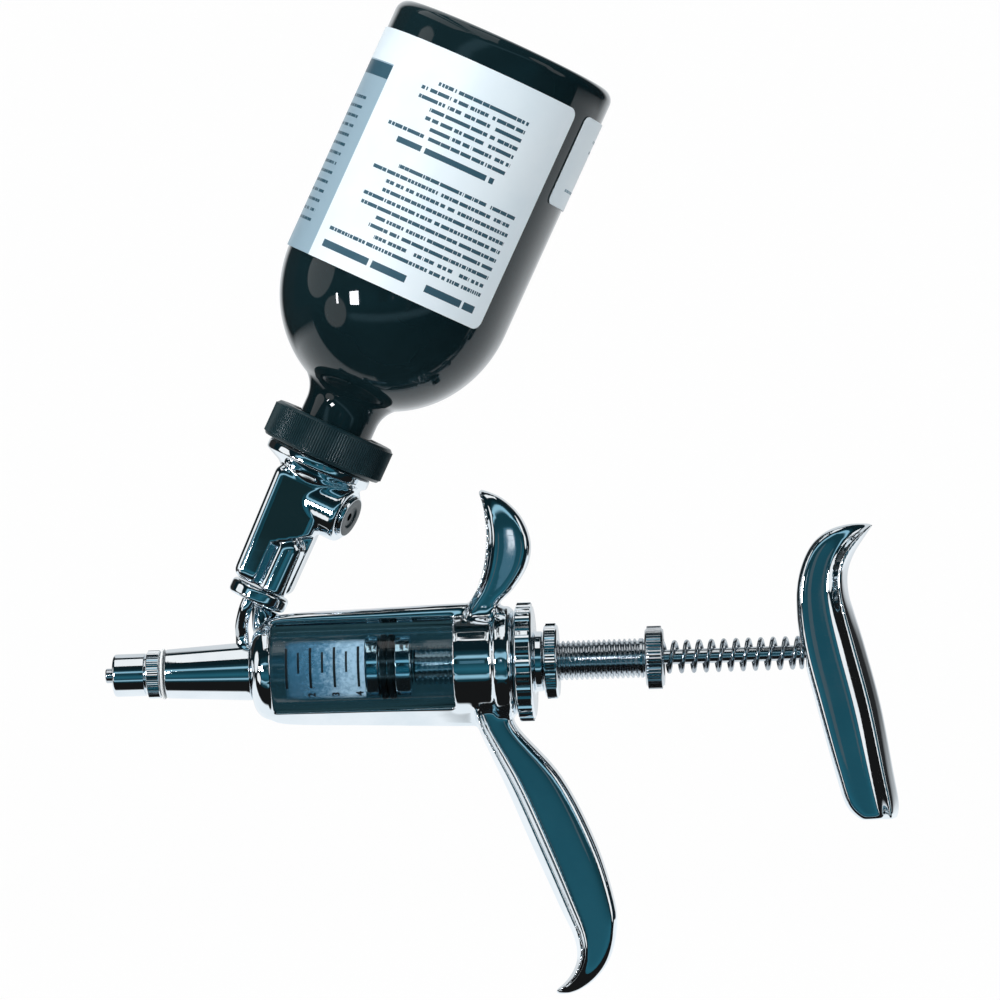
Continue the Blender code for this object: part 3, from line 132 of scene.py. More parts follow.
def turned_faces(profile, steps, closed):
    """Points and faces of a profile turned about the X axis. Its ends close on the axis."""
    points, rings, faces = [], [], []
    for x, radius in profile:
        if radius < 1e-6:
            rings.append([len(points)])
            points.append((x, 0.0, 0.0))
            continue
        rings.append(list(range(len(points), len(points) + steps)))
        for step in range(steps):
            angle = 2 * math.pi * step / steps
            points.append((x, radius * math.cos(angle), radius * math.sin(angle)))
    pairs = list(zip(rings, rings[1:]))
    if closed:
        pairs.append((rings[-1], rings[0]))
    for low, high in pairs:
        for step in range(steps):
            after = (step + 1) % steps
            if len(low) == 1 and len(high) == 1:
                break
            if len(low) == 1:
                faces.append((low[0], high[after], high[step]))
            elif len(high) == 1:
                faces.append((low[step], low[after], high[0]))
            else:
                faces.append((low[step], low[after], high[after], high[step]))
    return points, faces


def facing_out(piece):
    """Merge a piece's doubles and turn its faces outwards."""
    work = bmesh.new()
    work.from_mesh(piece.data)
    bmesh.ops.remove_doubles(work, verts=work.verts, dist=1e-7)
    bmesh.ops.recalc_face_normals(work, faces=work.faces)
    work.to_mesh(piece.data)
    work.free()
    return piece


def turned(name, corners, material, place=None, steps=TURN_STEPS, closed=False):
    """A turned piece. Its profile may run from axis to axis, or close on itself round a bore."""
    points, faces = turned_faces(eased(corners, closed), steps, closed)
    return facing_out(new_piece(name, points, faces, material, place))


def on_curve(a, b, c, d, share):
    """The point a share of the way from b to c on a smooth line that comes from a and goes to d."""
    point = 2 * b + (c - a) * share
    point += (2 * a - 5 * b + 4 * c - d) * share ** 2
    point += (3 * b - a - 3 * c + d) * share ** 3
    return 0.5 * point


def flowing(points, steps):
    """A smooth line through the points, with the same number of steps between each pair."""
    line = []
    last = len(points) - 1
    for index in range(last):
        around = (max(index - 1, 0), index, index + 1, min(index + 2, last))
        ends = [Vector(points[number]) for number in around]
        line += [on_curve(*ends, step / steps) for step in range(steps)]
    line.append(Vector(points[-1]))
    return line


def lofted(name, rings, material, place=None, sharp=60.0):
    """A closed piece through rings of points, each with the same count."""
    size = len(rings[0])
    points = [tuple(point) for ring in rings for point in ring]
    faces = []
    for level in range(len(rings) - 1):
        for step in range(size):
            after = (step + 1) % size
            low = level * size
            faces.append((low + step, low + after, low + size + after, low + size + step))
    faces.append(tuple(range(size)))
    faces.append(tuple(range(len(points) - size, len(points))))
    return facing_out(new_piece(name, points, faces, material, place, sharp))


def sheet_faces(columns, rows):
    """Faces of a thin sheet: its two sides, each a grid of points, and the rim between them."""
    across = columns + 1
    count = across * (rows + 1)
    faces = []
    for row in range(rows):
        for column in range(columns):
            first = row * across + column
            quad = (first, first + 1, first + across + 1, first + across)
            faces.append(tuple(reversed(quad)))
            faces.append(tuple(count + corner for corner in quad))
    rim = list(range(across))
    rim += [row * across + columns for row in range(1, rows + 1)]
    rim += [rows * across + column for column in range(columns - 1, -1, -1)]
    rim += [row * across for row in range(rows - 1, 0, -1)]
    for first, second in zip(rim, rim[1:] + rim[:1]):
        faces.append((first, second, count + second, count + first))
    return faces


def joined(name, pieces):
    """One piece made of several."""
    work = bmesh.new()
    for piece in pieces:
        work.from_mesh(piece.data)
    whole = made_from(work, name, pieces[0].data.materials[0])
    for piece in pieces:
        bpy.data.objects.remove(piece)
    return whole


def settled(piece):
    """The piece with its modifiers made into plain mesh."""
    graph = bpy.context.evaluated_depsgraph_get()
    mesh = bpy.data.meshes.new_from_object(piece.evaluated_get(graph))
    mesh.name = piece.name
    piece.modifiers.clear()
    piece.data = mesh
    return piece


def put(piece, body, slot, *nodes):
    """Let a piece ride on a body and stand for CAD nodes, which it hides. The slot is not used."""
    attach(piece, body)
    if nodes:
        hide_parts(*nodes)
    return piece


# Shader groups

def new_group(name, inputs, outputs):
    """A shader node group with named values in and out."""
    group = bpy.data.node_groups.new(name, "ShaderNodeTree")
    for label, kind, value in inputs:
        socket = group.interface.new_socket(label, in_out="INPUT", socket_type=kind)
        if value is not None:
            socket.default_value = value
    for label, kind in outputs:
        group.interface.new_socket(label, in_out="OUTPUT", socket_type=kind)
    return group


def give(group, **results):
    """The group, ended with its results, each at the output of its name."""
    out = group.nodes.new("NodeGroupOutput")
    for label, value in results.items():
        group.links.new(value, out.inputs[label])
    return group


def node(tree, kind, links=None, **settings):
    """A node with its settings and with each named or numbered input set or linked."""
    made = tree.nodes.new(kind)
    for label, value in settings.items():
        setattr(made, label, value)
    for label, value in (links or {}).items():
        socket = made.inputs[label]
        if isinstance(value, bpy.types.NodeSocket):
            tree.links.new(value, socket)
        else:
            socket.default_value = value
    return made


def sums(tree, operation, *values):
    """A Math node's result."""
    return node(tree, "ShaderNodeMath", dict(enumerate(values)), operation=operation).outputs[0]


def times(tree, *values):
    """The product of two or more values."""
    result = values[0]
    for value in values[1:]:
        result = sums(tree, "MULTIPLY", result, value)
    return result


def between(tree, value, low, high):
    """One where a value lies between two others, and zero elsewhere."""
    return times(tree, sums(tree, "GREATER_THAN", value, low), sums(tree, "LESS_THAN", value, high))


def faded(tree, value, start, end, first=0.0, last=1.0):
    """A value that goes from first to last while another goes from start to end."""
    reach = {"Value": value, "From Min": start, "From Max": end, "To Min": first, "To Max": last}
    return node(tree, "ShaderNodeMapRange", reach).outputs[0]


def noise(tree, place, scale, detail, roughness=0.5):
    """Noise over a place, about 0.5."""
    values = {"Vector": place, "Scale": scale, "Detail": detail, "Roughness": roughness}
    return node(tree, "ShaderNodeTexNoise", values).outputs[0]


def blended(tree, share, low, high):
    """A colour that a share takes from one to another."""
    return node(tree, "ShaderNodeMix", {0: share, 6: low, 7: high}, data_type="RGBA").outputs[2]


def ramp(tree, value, stops):
    """A colour ramp over a value from 0 to 1."""
    made = node(tree, "ShaderNodeValToRGB", {0: value})
    elements = made.color_ramp.elements
    while len(elements) > 1:
        elements.remove(elements[-1])
    elements[0].position = stops[0][0]
    elements[0].color = (*stops[0][1], 1)
    for position, colour in stops[1:]:
        element = elements.new(position)
        element.color = (*colour, 1)
    return made.outputs[0]


def handling_group():
    """Smudges and hair scratches of a piece that is held and wiped."""
    group = new_group(
        "Handling marks",
        [
            ("Place", "NodeSocketVector", None),
            ("Clean Roughness", "NodeSocketFloat", 0.05),
            ("Smudge", "NodeSocketFloat", 0.1),
            ("Smudge Size", "NodeSocketFloat", 12.0),
            ("Scratch", "NodeSocketFloat", 0.3),
        ],
        [("Roughness", "NodeSocketFloat"), ("Height", "NodeSocketFloat")],
    )
    into = group.nodes.new("NodeGroupInput").outputs
    cell = sums(group, "DIVIDE", 1000.0, into["Smudge Size"])
    film = faded(group, noise(group, into["Place"], cell, 5.0, 0.6), 0.48, 0.72)
    drawn = node(
        group, "ShaderNodeMapping",
        {"Vector": into["Place"], "Rotation": (0.4, 0.9, 0.2), "Scale": (1.0, 22.0, 22.0)},
    )
    hairs = faded(group, noise(group, drawn.outputs[0], 160.0, 2.0), 0.64, 0.7)
    scratch = times(group, hairs, into["Scratch"])
    dulled = sums(group, "ADD", into["Clean Roughness"], times(group, film, into["Smudge"]))
    rough = sums(group, "ADD", dulled, times(group, scratch, 0.12))
    peel = noise(group, into["Place"], 420.0, 1.0)
    height = sums(group, "SUBTRACT", peel, times(group, scratch, 0.5))
    return give(group, Roughness=rough, Height=height)


def turning_group():
    """Fine rings left by the lathe, along the X of the place given."""
    group = new_group(
        "Turning lines",
        [("Place", "NodeSocketVector", None), ("Pitch", "NodeSocketFloat", 0.25)],
        [("Height", "NodeSocketFloat")],
    )
    into = group.nodes.new("NodeGroupInput").outputs
    squeezed = node(group, "ShaderNodeMapping", {"Vector": into["Place"], "Scale": (1.0, 0.02, 0.02)})
    scale = sums(group, "DIVIDE", 1000.0, into["Pitch"])
    return give(group, Height=noise(group, squeezed.outputs[0], scale, 2.0))


def mottle_group():
    """Slow change of colour over a surface, between two colours."""
    group = new_group(
        "Mottled colour",
        [
            ("Place", "NodeSocketVector", None),
            ("Size", "NodeSocketFloat", 8.0),
            ("Colour A", "NodeSocketColor", (1, 1, 1, 1)),
            ("Colour B", "NodeSocketColor", (0, 0, 0, 1)),
        ],
        [("Colour", "NodeSocketColor")],
    )
    into = group.nodes.new("NodeGroupInput").outputs
    scale = sums(group, "DIVIDE", 1000.0, into["Size"])
    mask = faded(group, noise(group, into["Place"], scale, 4.0), 0.35, 0.65)
    return give(group, Colour=blended(group, mask, into["Colour A"], into["Colour B"]))


HANDLING = handling_group()
TURNING = turning_group()
MOTTLE = mottle_group()


# Materials

def new_material(name, **plain):
    """A material, its node tree, its Principled shader and the object's own coordinates."""
    material = bpy.data.materials.new(name)
    material.use_nodes = True
    tree = material.node_tree
    shader = tree.nodes["Principled BSDF"]
    for label, value in plain.items():
        shader.inputs[label.replace("_", " ")].default_value = value
    place = tree.nodes.new("ShaderNodeTexCoord").outputs["Object"]
    return material, tree, shader, place


def grouped(tree, group, links):
    """A group placed in a material with its own values."""
    return node(tree, "ShaderNodeGroup", links, node_tree=group).outputs


def handled(tree, shader, place, clean, smudge, size, scratch):
    """Marks of handling in a shader's gloss. Gives their height."""
    marks = grouped(
        tree, HANDLING,
        {"Place": place, "Clean Roughness": clean, "Smudge": smudge, "Smudge Size": size, "Scratch": scratch},
    )
    tree.links.new(marks["Roughness"], shader.inputs["Roughness"])
    return marks["Height"]


def mottled(tree, place, size, light, dark):
    """A colour that changes slowly between two."""
    values = {"Place": place, "Size": size, "Colour A": light, "Colour B": dark}
    return grouped(tree, MOTTLE, values)["Colour"]


def bumped(tree, shader, height, distance, strength=1.0):
    """Feed a height to the shader as a bump of the distance given, in millimetres."""
    bump = node(tree, "ShaderNodeBump", {"Height": height, "Distance": distance * MM, "Strength": strength})
    tree.links.new(bump.outputs[0], shader.inputs["Normal"])


def metal(name, light, dark, roughness, smudge, peel, lathe=None):
    """A bare or plated metal with marks of handling, and of the lathe where its pitch is given."""
    material, tree, shader, place = new_material(name, Metallic=1.0)
    tree.links.new(mottled(tree, place, 9.0, light, dark), shader.inputs["Base Color"])
    height = handled(tree, shader, place, roughness, smudge, 12.0, 0.3)
    if lathe:
        rings = grouped(tree, TURNING, {"Place": place, "Pitch": lathe})
        height = sums(tree, "ADD", height, times(tree, rings["Height"], 2.0))
    bumped(tree, shader, height, peel)
    return material


def moulded(name, light, dark, roughness, grain, depth):
    """A moulded plastic or rubber with a fine grain."""
    material, tree, shader, place = new_material(name)
    tree.links.new(mottled(tree, place, 5.0, light, dark), shader.inputs["Base Color"])
    handled(tree, shader, place, roughness, 0.12, 6.0, 0.2)
    bumped(tree, shader, noise(tree, place, 1000.0 / grain, 3.0), depth)
    return material


BRIGHT = (0.86, 0.9, 0.93, 1)
CHROME = metal("polished chrome", BRIGHT, (0.78, 0.84, 0.88, 1), 0.035, 0.05, 0.003)
TURNED_CHROME = metal("turned chrome", BRIGHT, (0.8, 0.85, 0.89, 1), 0.05, 0.04, 0.002, 0.35)
STEEL = metal("ground steel", (0.66, 0.7, 0.73, 1), (0.58, 0.62, 0.66, 1), 0.12, 0.1, 0.002, 0.2)
SPRING_STEEL = metal("spring steel", (0.5, 0.55, 0.59, 1), (0.36, 0.4, 0.44, 1), 0.16, 0.14, 0.003)
ALUMINIUM = metal("spun aluminium", (0.82, 0.84, 0.86, 1), (0.72, 0.74, 0.77, 1), 0.22, 0.12, 0.004, 0.3)
RING_PLASTIC = moulded("ring plastic", (0.006, 0.021, 0.027, 1), (0.011, 0.031, 0.038, 1), 0.3, 0.5, 0.01)
RUBBER = moulded("black rubber", (0.012, 0.017, 0.019, 1), (0.022, 0.029, 0.032, 1), 0.55, 0.35, 0.015)
STOPPER_RUBBER = moulded("grey rubber", (0.13, 0.14, 0.15, 1), (0.18, 0.19, 0.2, 1), 0.6, 0.35, 0.015)
NYLON = moulded("white nylon", (0.78, 0.8, 0.8, 1), (0.7, 0.73, 0.74, 1), 0.38, 0.4, 0.01)


def barrel_glass():
    """Clear glass of the barrel, a little blue, with a light film inside."""
    material, tree, shader, place = new_material(
        "barrel glass", Transmission_Weight=1.0, IOR=1.48, Metallic=0.0,
    )
    colour = mottled(tree, place, 10.0, (0.8, 0.93, 0.97, 1), (0.72, 0.88, 0.94, 1))
    tree.links.new(colour, shader.inputs["Base Color"])
    bumped(tree, shader, handled(tree, shader, place, 0.0, 0.012, 7.0, 0.3), 0.0006)
    return material


def bottle_glass():
    """Dark glass of the bottle, so deep that it lets almost no light through."""
    material, tree, shader, place = new_material(
        "dark bottle glass", Coat_Weight=1.0, Coat_Roughness=0.02, Coat_IOR=1.3, Specular_IOR_Level=0.2,
    )
    colour = mottled(tree, place, 30.0, (0.004, 0.012, 0.015, 1), (0.006, 0.017, 0.021, 1))
    tree.links.new(colour, shader.inputs["Base Color"])
    handled(tree, shader, place, 0.04, 0.05, 16.0, 0.2)
    bumped(tree, shader, noise(tree, place, 55.0, 1.0), 0.05)
    return material


BARREL_GLASS = barrel_glass()
BOTTLE_GLASS = bottle_glass()


# Geometry trees

def new_tree(name, inputs):
    """A geometry tree with named inputs, its input sockets and the function that ends it."""
    tree = bpy.data.node_groups.new(name, "GeometryNodeTree")
    tree.interface.new_socket("Geometry", in_out="INPUT", socket_type="NodeSocketGeometry")
    for label, kind in inputs:
        tree.interface.new_socket(label, in_out="INPUT", socket_type=kind)
    tree.interface.new_socket("Material", in_out="INPUT", socket_type="NodeSocketMaterial")
    tree.interface.new_socket("Geometry", in_out="OUTPUT", socket_type="NodeSocketGeometry")
    into = tree.nodes.new("NodeGroupInput").outputs

    def finish(geometry):
        real = node(tree, "GeometryNodeRealizeInstances", {0: geometry})
        parts = {"Geometry": real.outputs[0], "Material": into["Material"]}
        made = node(tree, "GeometryNodeSetMaterial", parts)
        out = tree.nodes.new("NodeGroupOutput")
        tree.links.new(made.outputs[0], out.inputs[0])
        return tree

    return tree, into, finish


def grown(piece, tree, values):
    """The piece after a geometry tree, with the tree's inputs set by name, as plain mesh."""
    modifier = piece.modifiers.new(tree.name, "NODES")
    modifier.node_group = tree
    for item in tree.interface.items_tree:
        if item.item_type == "SOCKET" and item.in_out == "INPUT" and item.name in values:
            modifier[item.identifier] = values[item.name]
    return settled(piece)


def rib_tree():
    """Straight ribs round the X axis, each a rod laid half into the piece."""
    tree, into, finish = new_tree(
        "ribs round the axis",
        [
            ("Count", "NodeSocketInt"),
            ("Ring Radius", "NodeSocketFloat"),
            ("Rib Radius", "NodeSocketFloat"),
            ("Rib Sides", "NodeSocketInt"),
            ("Middle", "NodeSocketFloat"),
            ("Length", "NodeSocketFloat"),
        ],
    )
    along_x = (0.0, math.pi / 2, 0.0)
    ring = node(tree, "GeometryNodeMeshCircle", {"Vertices": into["Count"], "Radius": into["Ring Radius"]})
    offset = node(tree, "ShaderNodeCombineXYZ", {0: into["Middle"]})
    stood = node(
        tree, "GeometryNodeTransform",
        {"Geometry": ring.outputs[0], "Rotation": along_x, "Translation": offset.outputs[0]},
    )
    rod = node(
        tree, "GeometryNodeMeshCylinder",
        {"Vertices": into["Rib Sides"], "Radius": into["Rib Radius"], "Depth": into["Length"]},
    )
    laid = node(tree, "GeometryNodeTransform", {"Geometry": rod.outputs[0], "Rotation": along_x})
    index = tree.nodes.new("GeometryNodeInputIndex").outputs[0]
    step = sums(tree, "DIVIDE", 2 * math.pi, into["Count"])
    turn = node(tree, "ShaderNodeCombineXYZ", {0: times(tree, index, step)})
    ribs = node(
        tree, "GeometryNodeInstanceOnPoints",
        {"Points": stood.outputs[0], "Instance": laid.outputs[0], "Rotation": turn.outputs[0]},
    )
    whole = node(tree, "GeometryNodeJoinGeometry")
    tree.links.new(ribs.outputs[0], whole.inputs[0])
    tree.links.new(into["Geometry"], whole.inputs[0])
    return finish(whole.outputs[0])


def thread_tree():
    """A thread cut into a turned piece: its radius drops along a helix between two stations."""
    tree, into, finish = new_tree(
        "thread along the axis",
        [
            ("Pitch", "NodeSocketFloat"),
            ("Depth", "NodeSocketFloat"),
            ("From", "NodeSocketFloat"),
            ("To", "NodeSocketFloat"),
            ("Least Radius", "NodeSocketFloat"),
        ],
    )
    position = tree.nodes.new("GeometryNodeInputPosition").outputs[0]
    x, y, z = node(tree, "ShaderNodeSeparateXYZ", {0: position}).outputs
    round_axis = sums(tree, "DIVIDE", sums(tree, "ARCTAN2", z, y), 2 * math.pi)
    turns = sums(tree, "SUBTRACT", sums(tree, "DIVIDE", x, into["Pitch"]), round_axis)
    flat = faded(tree, sums(tree, "PINGPONG", turns, 0.5), 0.14, 0.4)
    squares = sums(tree, "ADD", sums(tree, "POWER", y, 2.0), sums(tree, "POWER", z, 2.0))
    radius = sums(tree, "SQRT", squares)
    inside = between(tree, x, into["From"], into["To"])
    inside = times(tree, inside, sums(tree, "GREATER_THAN", radius, into["Least Radius"]))
    share = sums(tree, "DIVIDE", times(tree, flat, into["Depth"], inside), radius)
    offset = node(
        tree, "ShaderNodeCombineXYZ", {1: times(tree, y, share, -1.0), 2: times(tree, z, share, -1.0)},
    )
    cut = node(tree, "GeometryNodeSetPosition", {"Geometry": into["Geometry"], "Offset": offset.outputs[0]})
    return finish(cut.outputs[0])


def wire_tree():
    """A round wire or tube along a path of edges."""
    tree, into, finish = new_tree(
        "wire along a path", [("Wire Radius", "NodeSocketFloat"), ("Sides", "NodeSocketInt")],
    )
    path = node(tree, "GeometryNodeMeshToCurve", {0: into["Geometry"]})
    size = {"Resolution": into["Sides"], "Radius": into["Wire Radius"]}
    section = node(tree, "GeometryNodeCurvePrimitiveCircle", size)
    parts = {"Curve": path.outputs[0], "Profile Curve": section.outputs[0]}
    wire = node(tree, "GeometryNodeCurveToMesh", parts)
    fill = [socket for socket in wire.inputs if socket.name == "Fill Caps"][0]
    fill.default_value = True
    return finish(wire.outputs[0])


RIBS = rib_tree()
THREAD = thread_tree()
WIRE = wire_tree()


def with_ribs(piece, count, ring, rib, sides, start, end, material, place=None):
    """A turned piece with straight ribs between two stations, in millimetres, then put in its place."""
    grown(
        piece, RIBS,
        {
            "Count": count, "Ring Radius": ring * MM, "Rib Radius": rib * MM, "Rib Sides": sides,
            "Middle": (start + end) / 2 * MM, "Length": (end - start) * MM, "Material": material,
        },
    )
    if place is not None:
        piece.data.transform(place)
    return piece


def along(name, path, radius, sides, material):
    """A round wire along a path in millimetres."""
    mesh = bpy.data.meshes.new(name)
    mesh.from_pydata([Vector(point) * MM for point in path], [(i, i + 1) for i in range(len(path) - 1)], [])
    piece = added(name, mesh)
    grown(piece, WIRE, {"Wire Radius": radius * MM, "Sides": sides, "Material": material})
    piece.data.shade_smooth()
    piece.data.set_sharp_from_angle(angle=math.radians(50))
    return facing_out(piece)


# Nozzle, cap, nuts, sleeve, piston and spring

def make_nozzle():
    """Needle nut with its knurled ring, nipple, white washer and tapered valve body."""
    nut = turned(
        "knurled_needle_nut",
        [(-84.3, 1.95, 0.1), (-84.3, 4.8, 0.7), (-77.15, 4.8, 0.15), (-76.95, 4.35, 0.1),
         (-76.6, 4.35, 0.1), (-76.6, 5.2, 0.25), (-73.55, 5.2, 0.25), (-73.55, 3.95, 0.1),
         (-82.7, 3.95, 0.1), (-82.7, 1.95, 0.1)],
        TURNED_CHROME, closed=True,
    )
    with_ribs(nut, 64, 5.2, 0.24, 6, -76.35, -73.8, TURNED_CHROME)
    put(nut, "needle_nut", "chrome", "needle_nut")
    nipple = turned(
        "needle_nipple",
        [(-86.2, 0.75, 0.15), (-86.2, 1.64, 0.3), (-82.4, 1.64, 0.05), (-82.4, 3.6, 0.2), (-78.3, 3.6, 0.1),
         (-78.3, 2.2, 0.05), (-69.05, 2.2, 0.1), (-69.05, 0.75, 0.05)],
        STEEL, closed=True, steps=64,
    )
    put(nipple, "frame", "steel", "needle_adapter")
    washer = turned(
        "white_washer",
        [(-73.25, 3.95, 0.1), (-73.25, 5.7, 0.22), (-72.7, 5.7, 0.22), (-72.7, 3.95, 0.1)],
        NYLON, closed=True,
    )
    put(washer, "frame", "white_plastic", "nozzle_washer")
    body = turned(
        "tapered_body",
        [(-78.0, 2.45, 0.1), (-78.0, 3.6, 0.2), (-72.4, 3.6, 0.05), (-72.4, 5.5, 0.45), (-55.2, 6.5, 0.0),
         (-52.8, 6.6, 0.35), (-52.8, 5.0, 0.1), (-50.1, 5.0, 0.1), (-50.1, 1.6, 0.05), (-60.0, 1.6, 0.05),
         (-60.0, 2.45, 0.05)],
        TURNED_CHROME, closed=True,
    )
    put(body, "frame", "chrome", "valve_body")


def make_cap():
    """Coarse notched cap that closes the barrel, with its hub."""
    cap = turned(
        "notched_cap",
        [(-0.1, 4.75, 0.1), (-0.1, 9.45, 0.2), (7.05, 9.45, 0.05), (7.05, 12.85, 0.7), (11.0, 12.85, 0.9),
         (11.0, 7.6, 0.1), (11.35, 6.75, 0.3), (13.0, 6.75, 0.45), (13.0, 4.75, 0.1)],
        TURNED_CHROME, closed=True, steps=168,
    )
    with_ribs(cap, 28, 12.3, 1.1, 14, 7.45, 10.55, TURNED_CHROME)
    put(cap, "frame", "chrome", "barrel_cap")


def make_lock_nut():
    """Fine knurled nut that locks the dose sleeve."""
    nut = turned(
        "knurled_lock_nut",
        [(13.3, 4.75, 0.1), (13.3, 8.15, 0.5), (16.4, 8.15, 0.5), (16.4, 4.75, 0.1)],
        TURNED_CHROME, closed=True, steps=144,
    )
    with_ribs(nut, 72, 8.15, 0.34, 6, 13.75, 15.95, TURNED_CHROME)
    put(nut, "lock_nut", "chrome", "lock_nut")


def make_dose_sleeve():
    """Threaded sleeve whose front end stops the piston, with its knurled head."""
    corners = [(SLEEVE_FRONT, ROD_HOLE), (SLEEVE_FRONT, 3.9), (-15.7, THREAD_RADIUS)]
    corners += [(float(x), THREAD_RADIUS) for x in np.linspace(-15.7, 35.4, 620)[1:]]
    corners += [
        (35.6, 4.2), (35.98, 4.2), (35.98, 6.2), (36.5, 6.75), (39.5, 6.75), (SLEEVE_REAR, 6.2),
        (SLEEVE_REAR, 4.15), (36.68, 4.1), (36.68, ROD_HOLE),
    ]
    sleeve = turned("threaded_sleeve", corners, STEEL, closed=True, steps=72)
    grown(
        sleeve, THREAD,
        {
            "Pitch": THREAD_PITCH * MM, "Depth": 0.52 * MM, "From": -15.2 * MM, "To": 34.9 * MM,
            "Least Radius": 4.3 * MM, "Material": STEEL,
        },
    )
    sleeve.data.set_sharp_from_angle(angle=math.radians(50))
    with_ribs(sleeve, 56, 6.75, 0.35, 6, 36.45, 39.6, STEEL)
    put(sleeve, "dose_sleeve", "chrome", "dose_sleeve")


def make_plunger():
    """Rod, two-land piston and its rubber rings."""
    rod = turned(
        "bright_rod", [(-21.42, 0.0), (-21.42, 1.67, 0.2), (79.28, 1.67, 0.3), (79.28, 0.0)], STEEL, steps=48,
    )
    put(rod, "plunger", "chrome", "plunger_rod")
    piston = turned(
        "two_land_piston",
        [(-26.92, 0.0), (-26.92, 7.3, 0.55), (-23.82, 7.3, 0.3), (-23.82, 5.6, 0.1), (-20.02, 5.6, 0.1),
         (-20.02, 7.3, 0.3), (-16.42, 7.3, 0.55), (-16.42, ROD_HOLE, 0.1), (-21.72, ROD_HOLE, 0.1),
         (-21.72, 0.0)],
        TURNED_CHROME,
    )
    put(piston, "plunger", "chrome", "piston")
    section, middle = 0.725, 6.625
    angles = [2 * math.pi * i / 20 for i in range(20)]
    for name, solid, station in (
        ("front_rubber_ring", "piston_ring_front", -22.795),
        ("rear_rubber_ring", "piston_ring_rear", -21.045),
    ):
        corners = [(station + section * math.cos(a), middle + section * math.sin(a)) for a in angles]
        put(turned(name, corners, RUBBER, closed=True), "plunger", "black_rubber", solid)


def coil(name, front, rear, radius, wire, turns, end, place=None):
    """A spring along the axis, with its end turns close together."""
    steps = 44
    first, last = front + wire, rear - wire
    middle = (last - first - 2 * end) / (turns - 2)
    path = []
    for index in range(turns * steps + 1):
        turn = index / steps
        x = first + end * min(turn, 1.0) + middle * min(max(turn - 1.0, 0.0), turns - 2.0)
        x += end * max(turn - turns + 1.0, 0.0)
        angle = 2 * math.pi * turn
        point = Vector((x, radius * math.sin(angle), radius * math.cos(angle)))
        if place is not None:
            point = place @ (point * MM) / MM
        path.append(tuple(point))
    return along(name, path, wire, 12, SPRING_STEEL)


def make_springs():
    """The return spring and the small springs of the two valves."""
    spring = coil("return_spring", SPRING_FRONT, SPRING_REAR, 3.35, 0.45, 13, 1.35)
    put(spring, "spring_seat", "steel", "main_spring")
    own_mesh(spring)
    front, rear = -68.85, -61.85
    delivery = coil("delivery_valve_spring", front, rear, 1.5, 0.22, 5, 1.2)
    put(delivery, "frame", "steel", "delivery_spring")
    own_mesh(delivery)
    chamber = ON_BOTTLE @ Matrix.Translation(CHAMBER * MM)
    inlet = coil("inlet_valve_spring", 0.0, 8.9, 1.25, 0.22, 6, 1.2, chamber)
    put(inlet, "frame", "steel", "inlet_spring")
    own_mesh(inlet)


def make_barrel():
    """The glass barrel with eased ends."""
    barrel = turned(
        "clear_barrel",
        [(BARREL_FRONT, BORE_RADIUS, 0.25), (BARREL_FRONT, BARREL_RADIUS, 0.35),
         (BARREL_REAR, BARREL_RADIUS, 0.35), (BARREL_REAR, BORE_RADIUS, 0.25)],
        BARREL_GLASS, closed=True, steps=192,
    )
    put(barrel, "frame", "clear_glass", "glass_barrel")


make_nozzle()
make_cap()
make_lock_nut()
make_dose_sleeve()
make_plunger()
make_springs()
make_barrel()


# Scale on the barrel

def panel_enamel_and_painted_light():
    """Thin bluish enamel behind the marks, denser towards the rear of the scale; its colour brightens from
    dark teal to pale blue-white towards the rear, painted light for the backdrop seen through the glass.
    """
    material, tree, shader, place = new_material("scale panel enamel")
    parts = node(tree, "ShaderNodeSeparateXYZ", {0: place}).outputs
    along_x, height = times(tree, parts[0], 1000.0), times(tree, parts[2], 1000.0)
    share = faded(tree, along_x, -45.0, -30.0)
    streak = noise(tree, place, 900.0, 4.0, 0.7)
    painted_light_and_streaks = sums(tree, "ADD", share, times(tree, sums(tree, "SUBTRACT", streak, 0.5), 1.3))
    # Painted light: the colour brightens from dark teal at the front to pale blue-white at the rear, as the
    # backdrop shows through the glass.
    stops = [(0.0, (0.02, 0.11, 0.2)), (0.55, (0.06, 0.2, 0.33)), (1.0, (0.32, 0.52, 0.68))]
    tree.links.new(ramp(tree, painted_light_and_streaks, stops), shader.inputs["Base Color"])
    cover = faded(tree, sums(tree, "ADD", share, streak), 0.0, 1.6, 0.35, 0.85)
    fade = faded(tree, sums(tree, "ABSOLUTE", height), 5.6, 6.6, 1.0, 0.0)
    start = faded(tree, along_x, -44.7, -43.2)
    tree.links.new(times(tree, cover, times(tree, fade, start)), shader.inputs["Alpha"])
    handled(tree, shader, place, 0.35, 0.2, 4.0, 0.3)
    bumped(tree, shader, streak, 0.004)
    return material


ENAMEL = moulded("scale enamel", (0.001, 0.004, 0.006, 1), (0.003, 0.008, 0.011, 1), 0.55, 0.3, 0.004)
PANEL = panel_enamel_and_painted_light()


def wrapped(name, low, high, bottom, top, radius, thick, material, columns=3, rows=24):
    """A thin patch wrapped on the front of the barrel, between two stations and two heights."""
    points = []
    for layer in (radius, radius + thick):
        for row in range(rows + 1):
            height = bottom + (top - bottom) * row / rows
            angle = math.asin(height / (radius + thick))
            y, z = -layer * math.cos(angle), layer * math.sin(angle)
            points += [(low + (high - low) * column / columns, y, z) for column in range(columns + 1)]
    return facing_out(new_piece(name, points, sheet_faces(columns, rows), material))


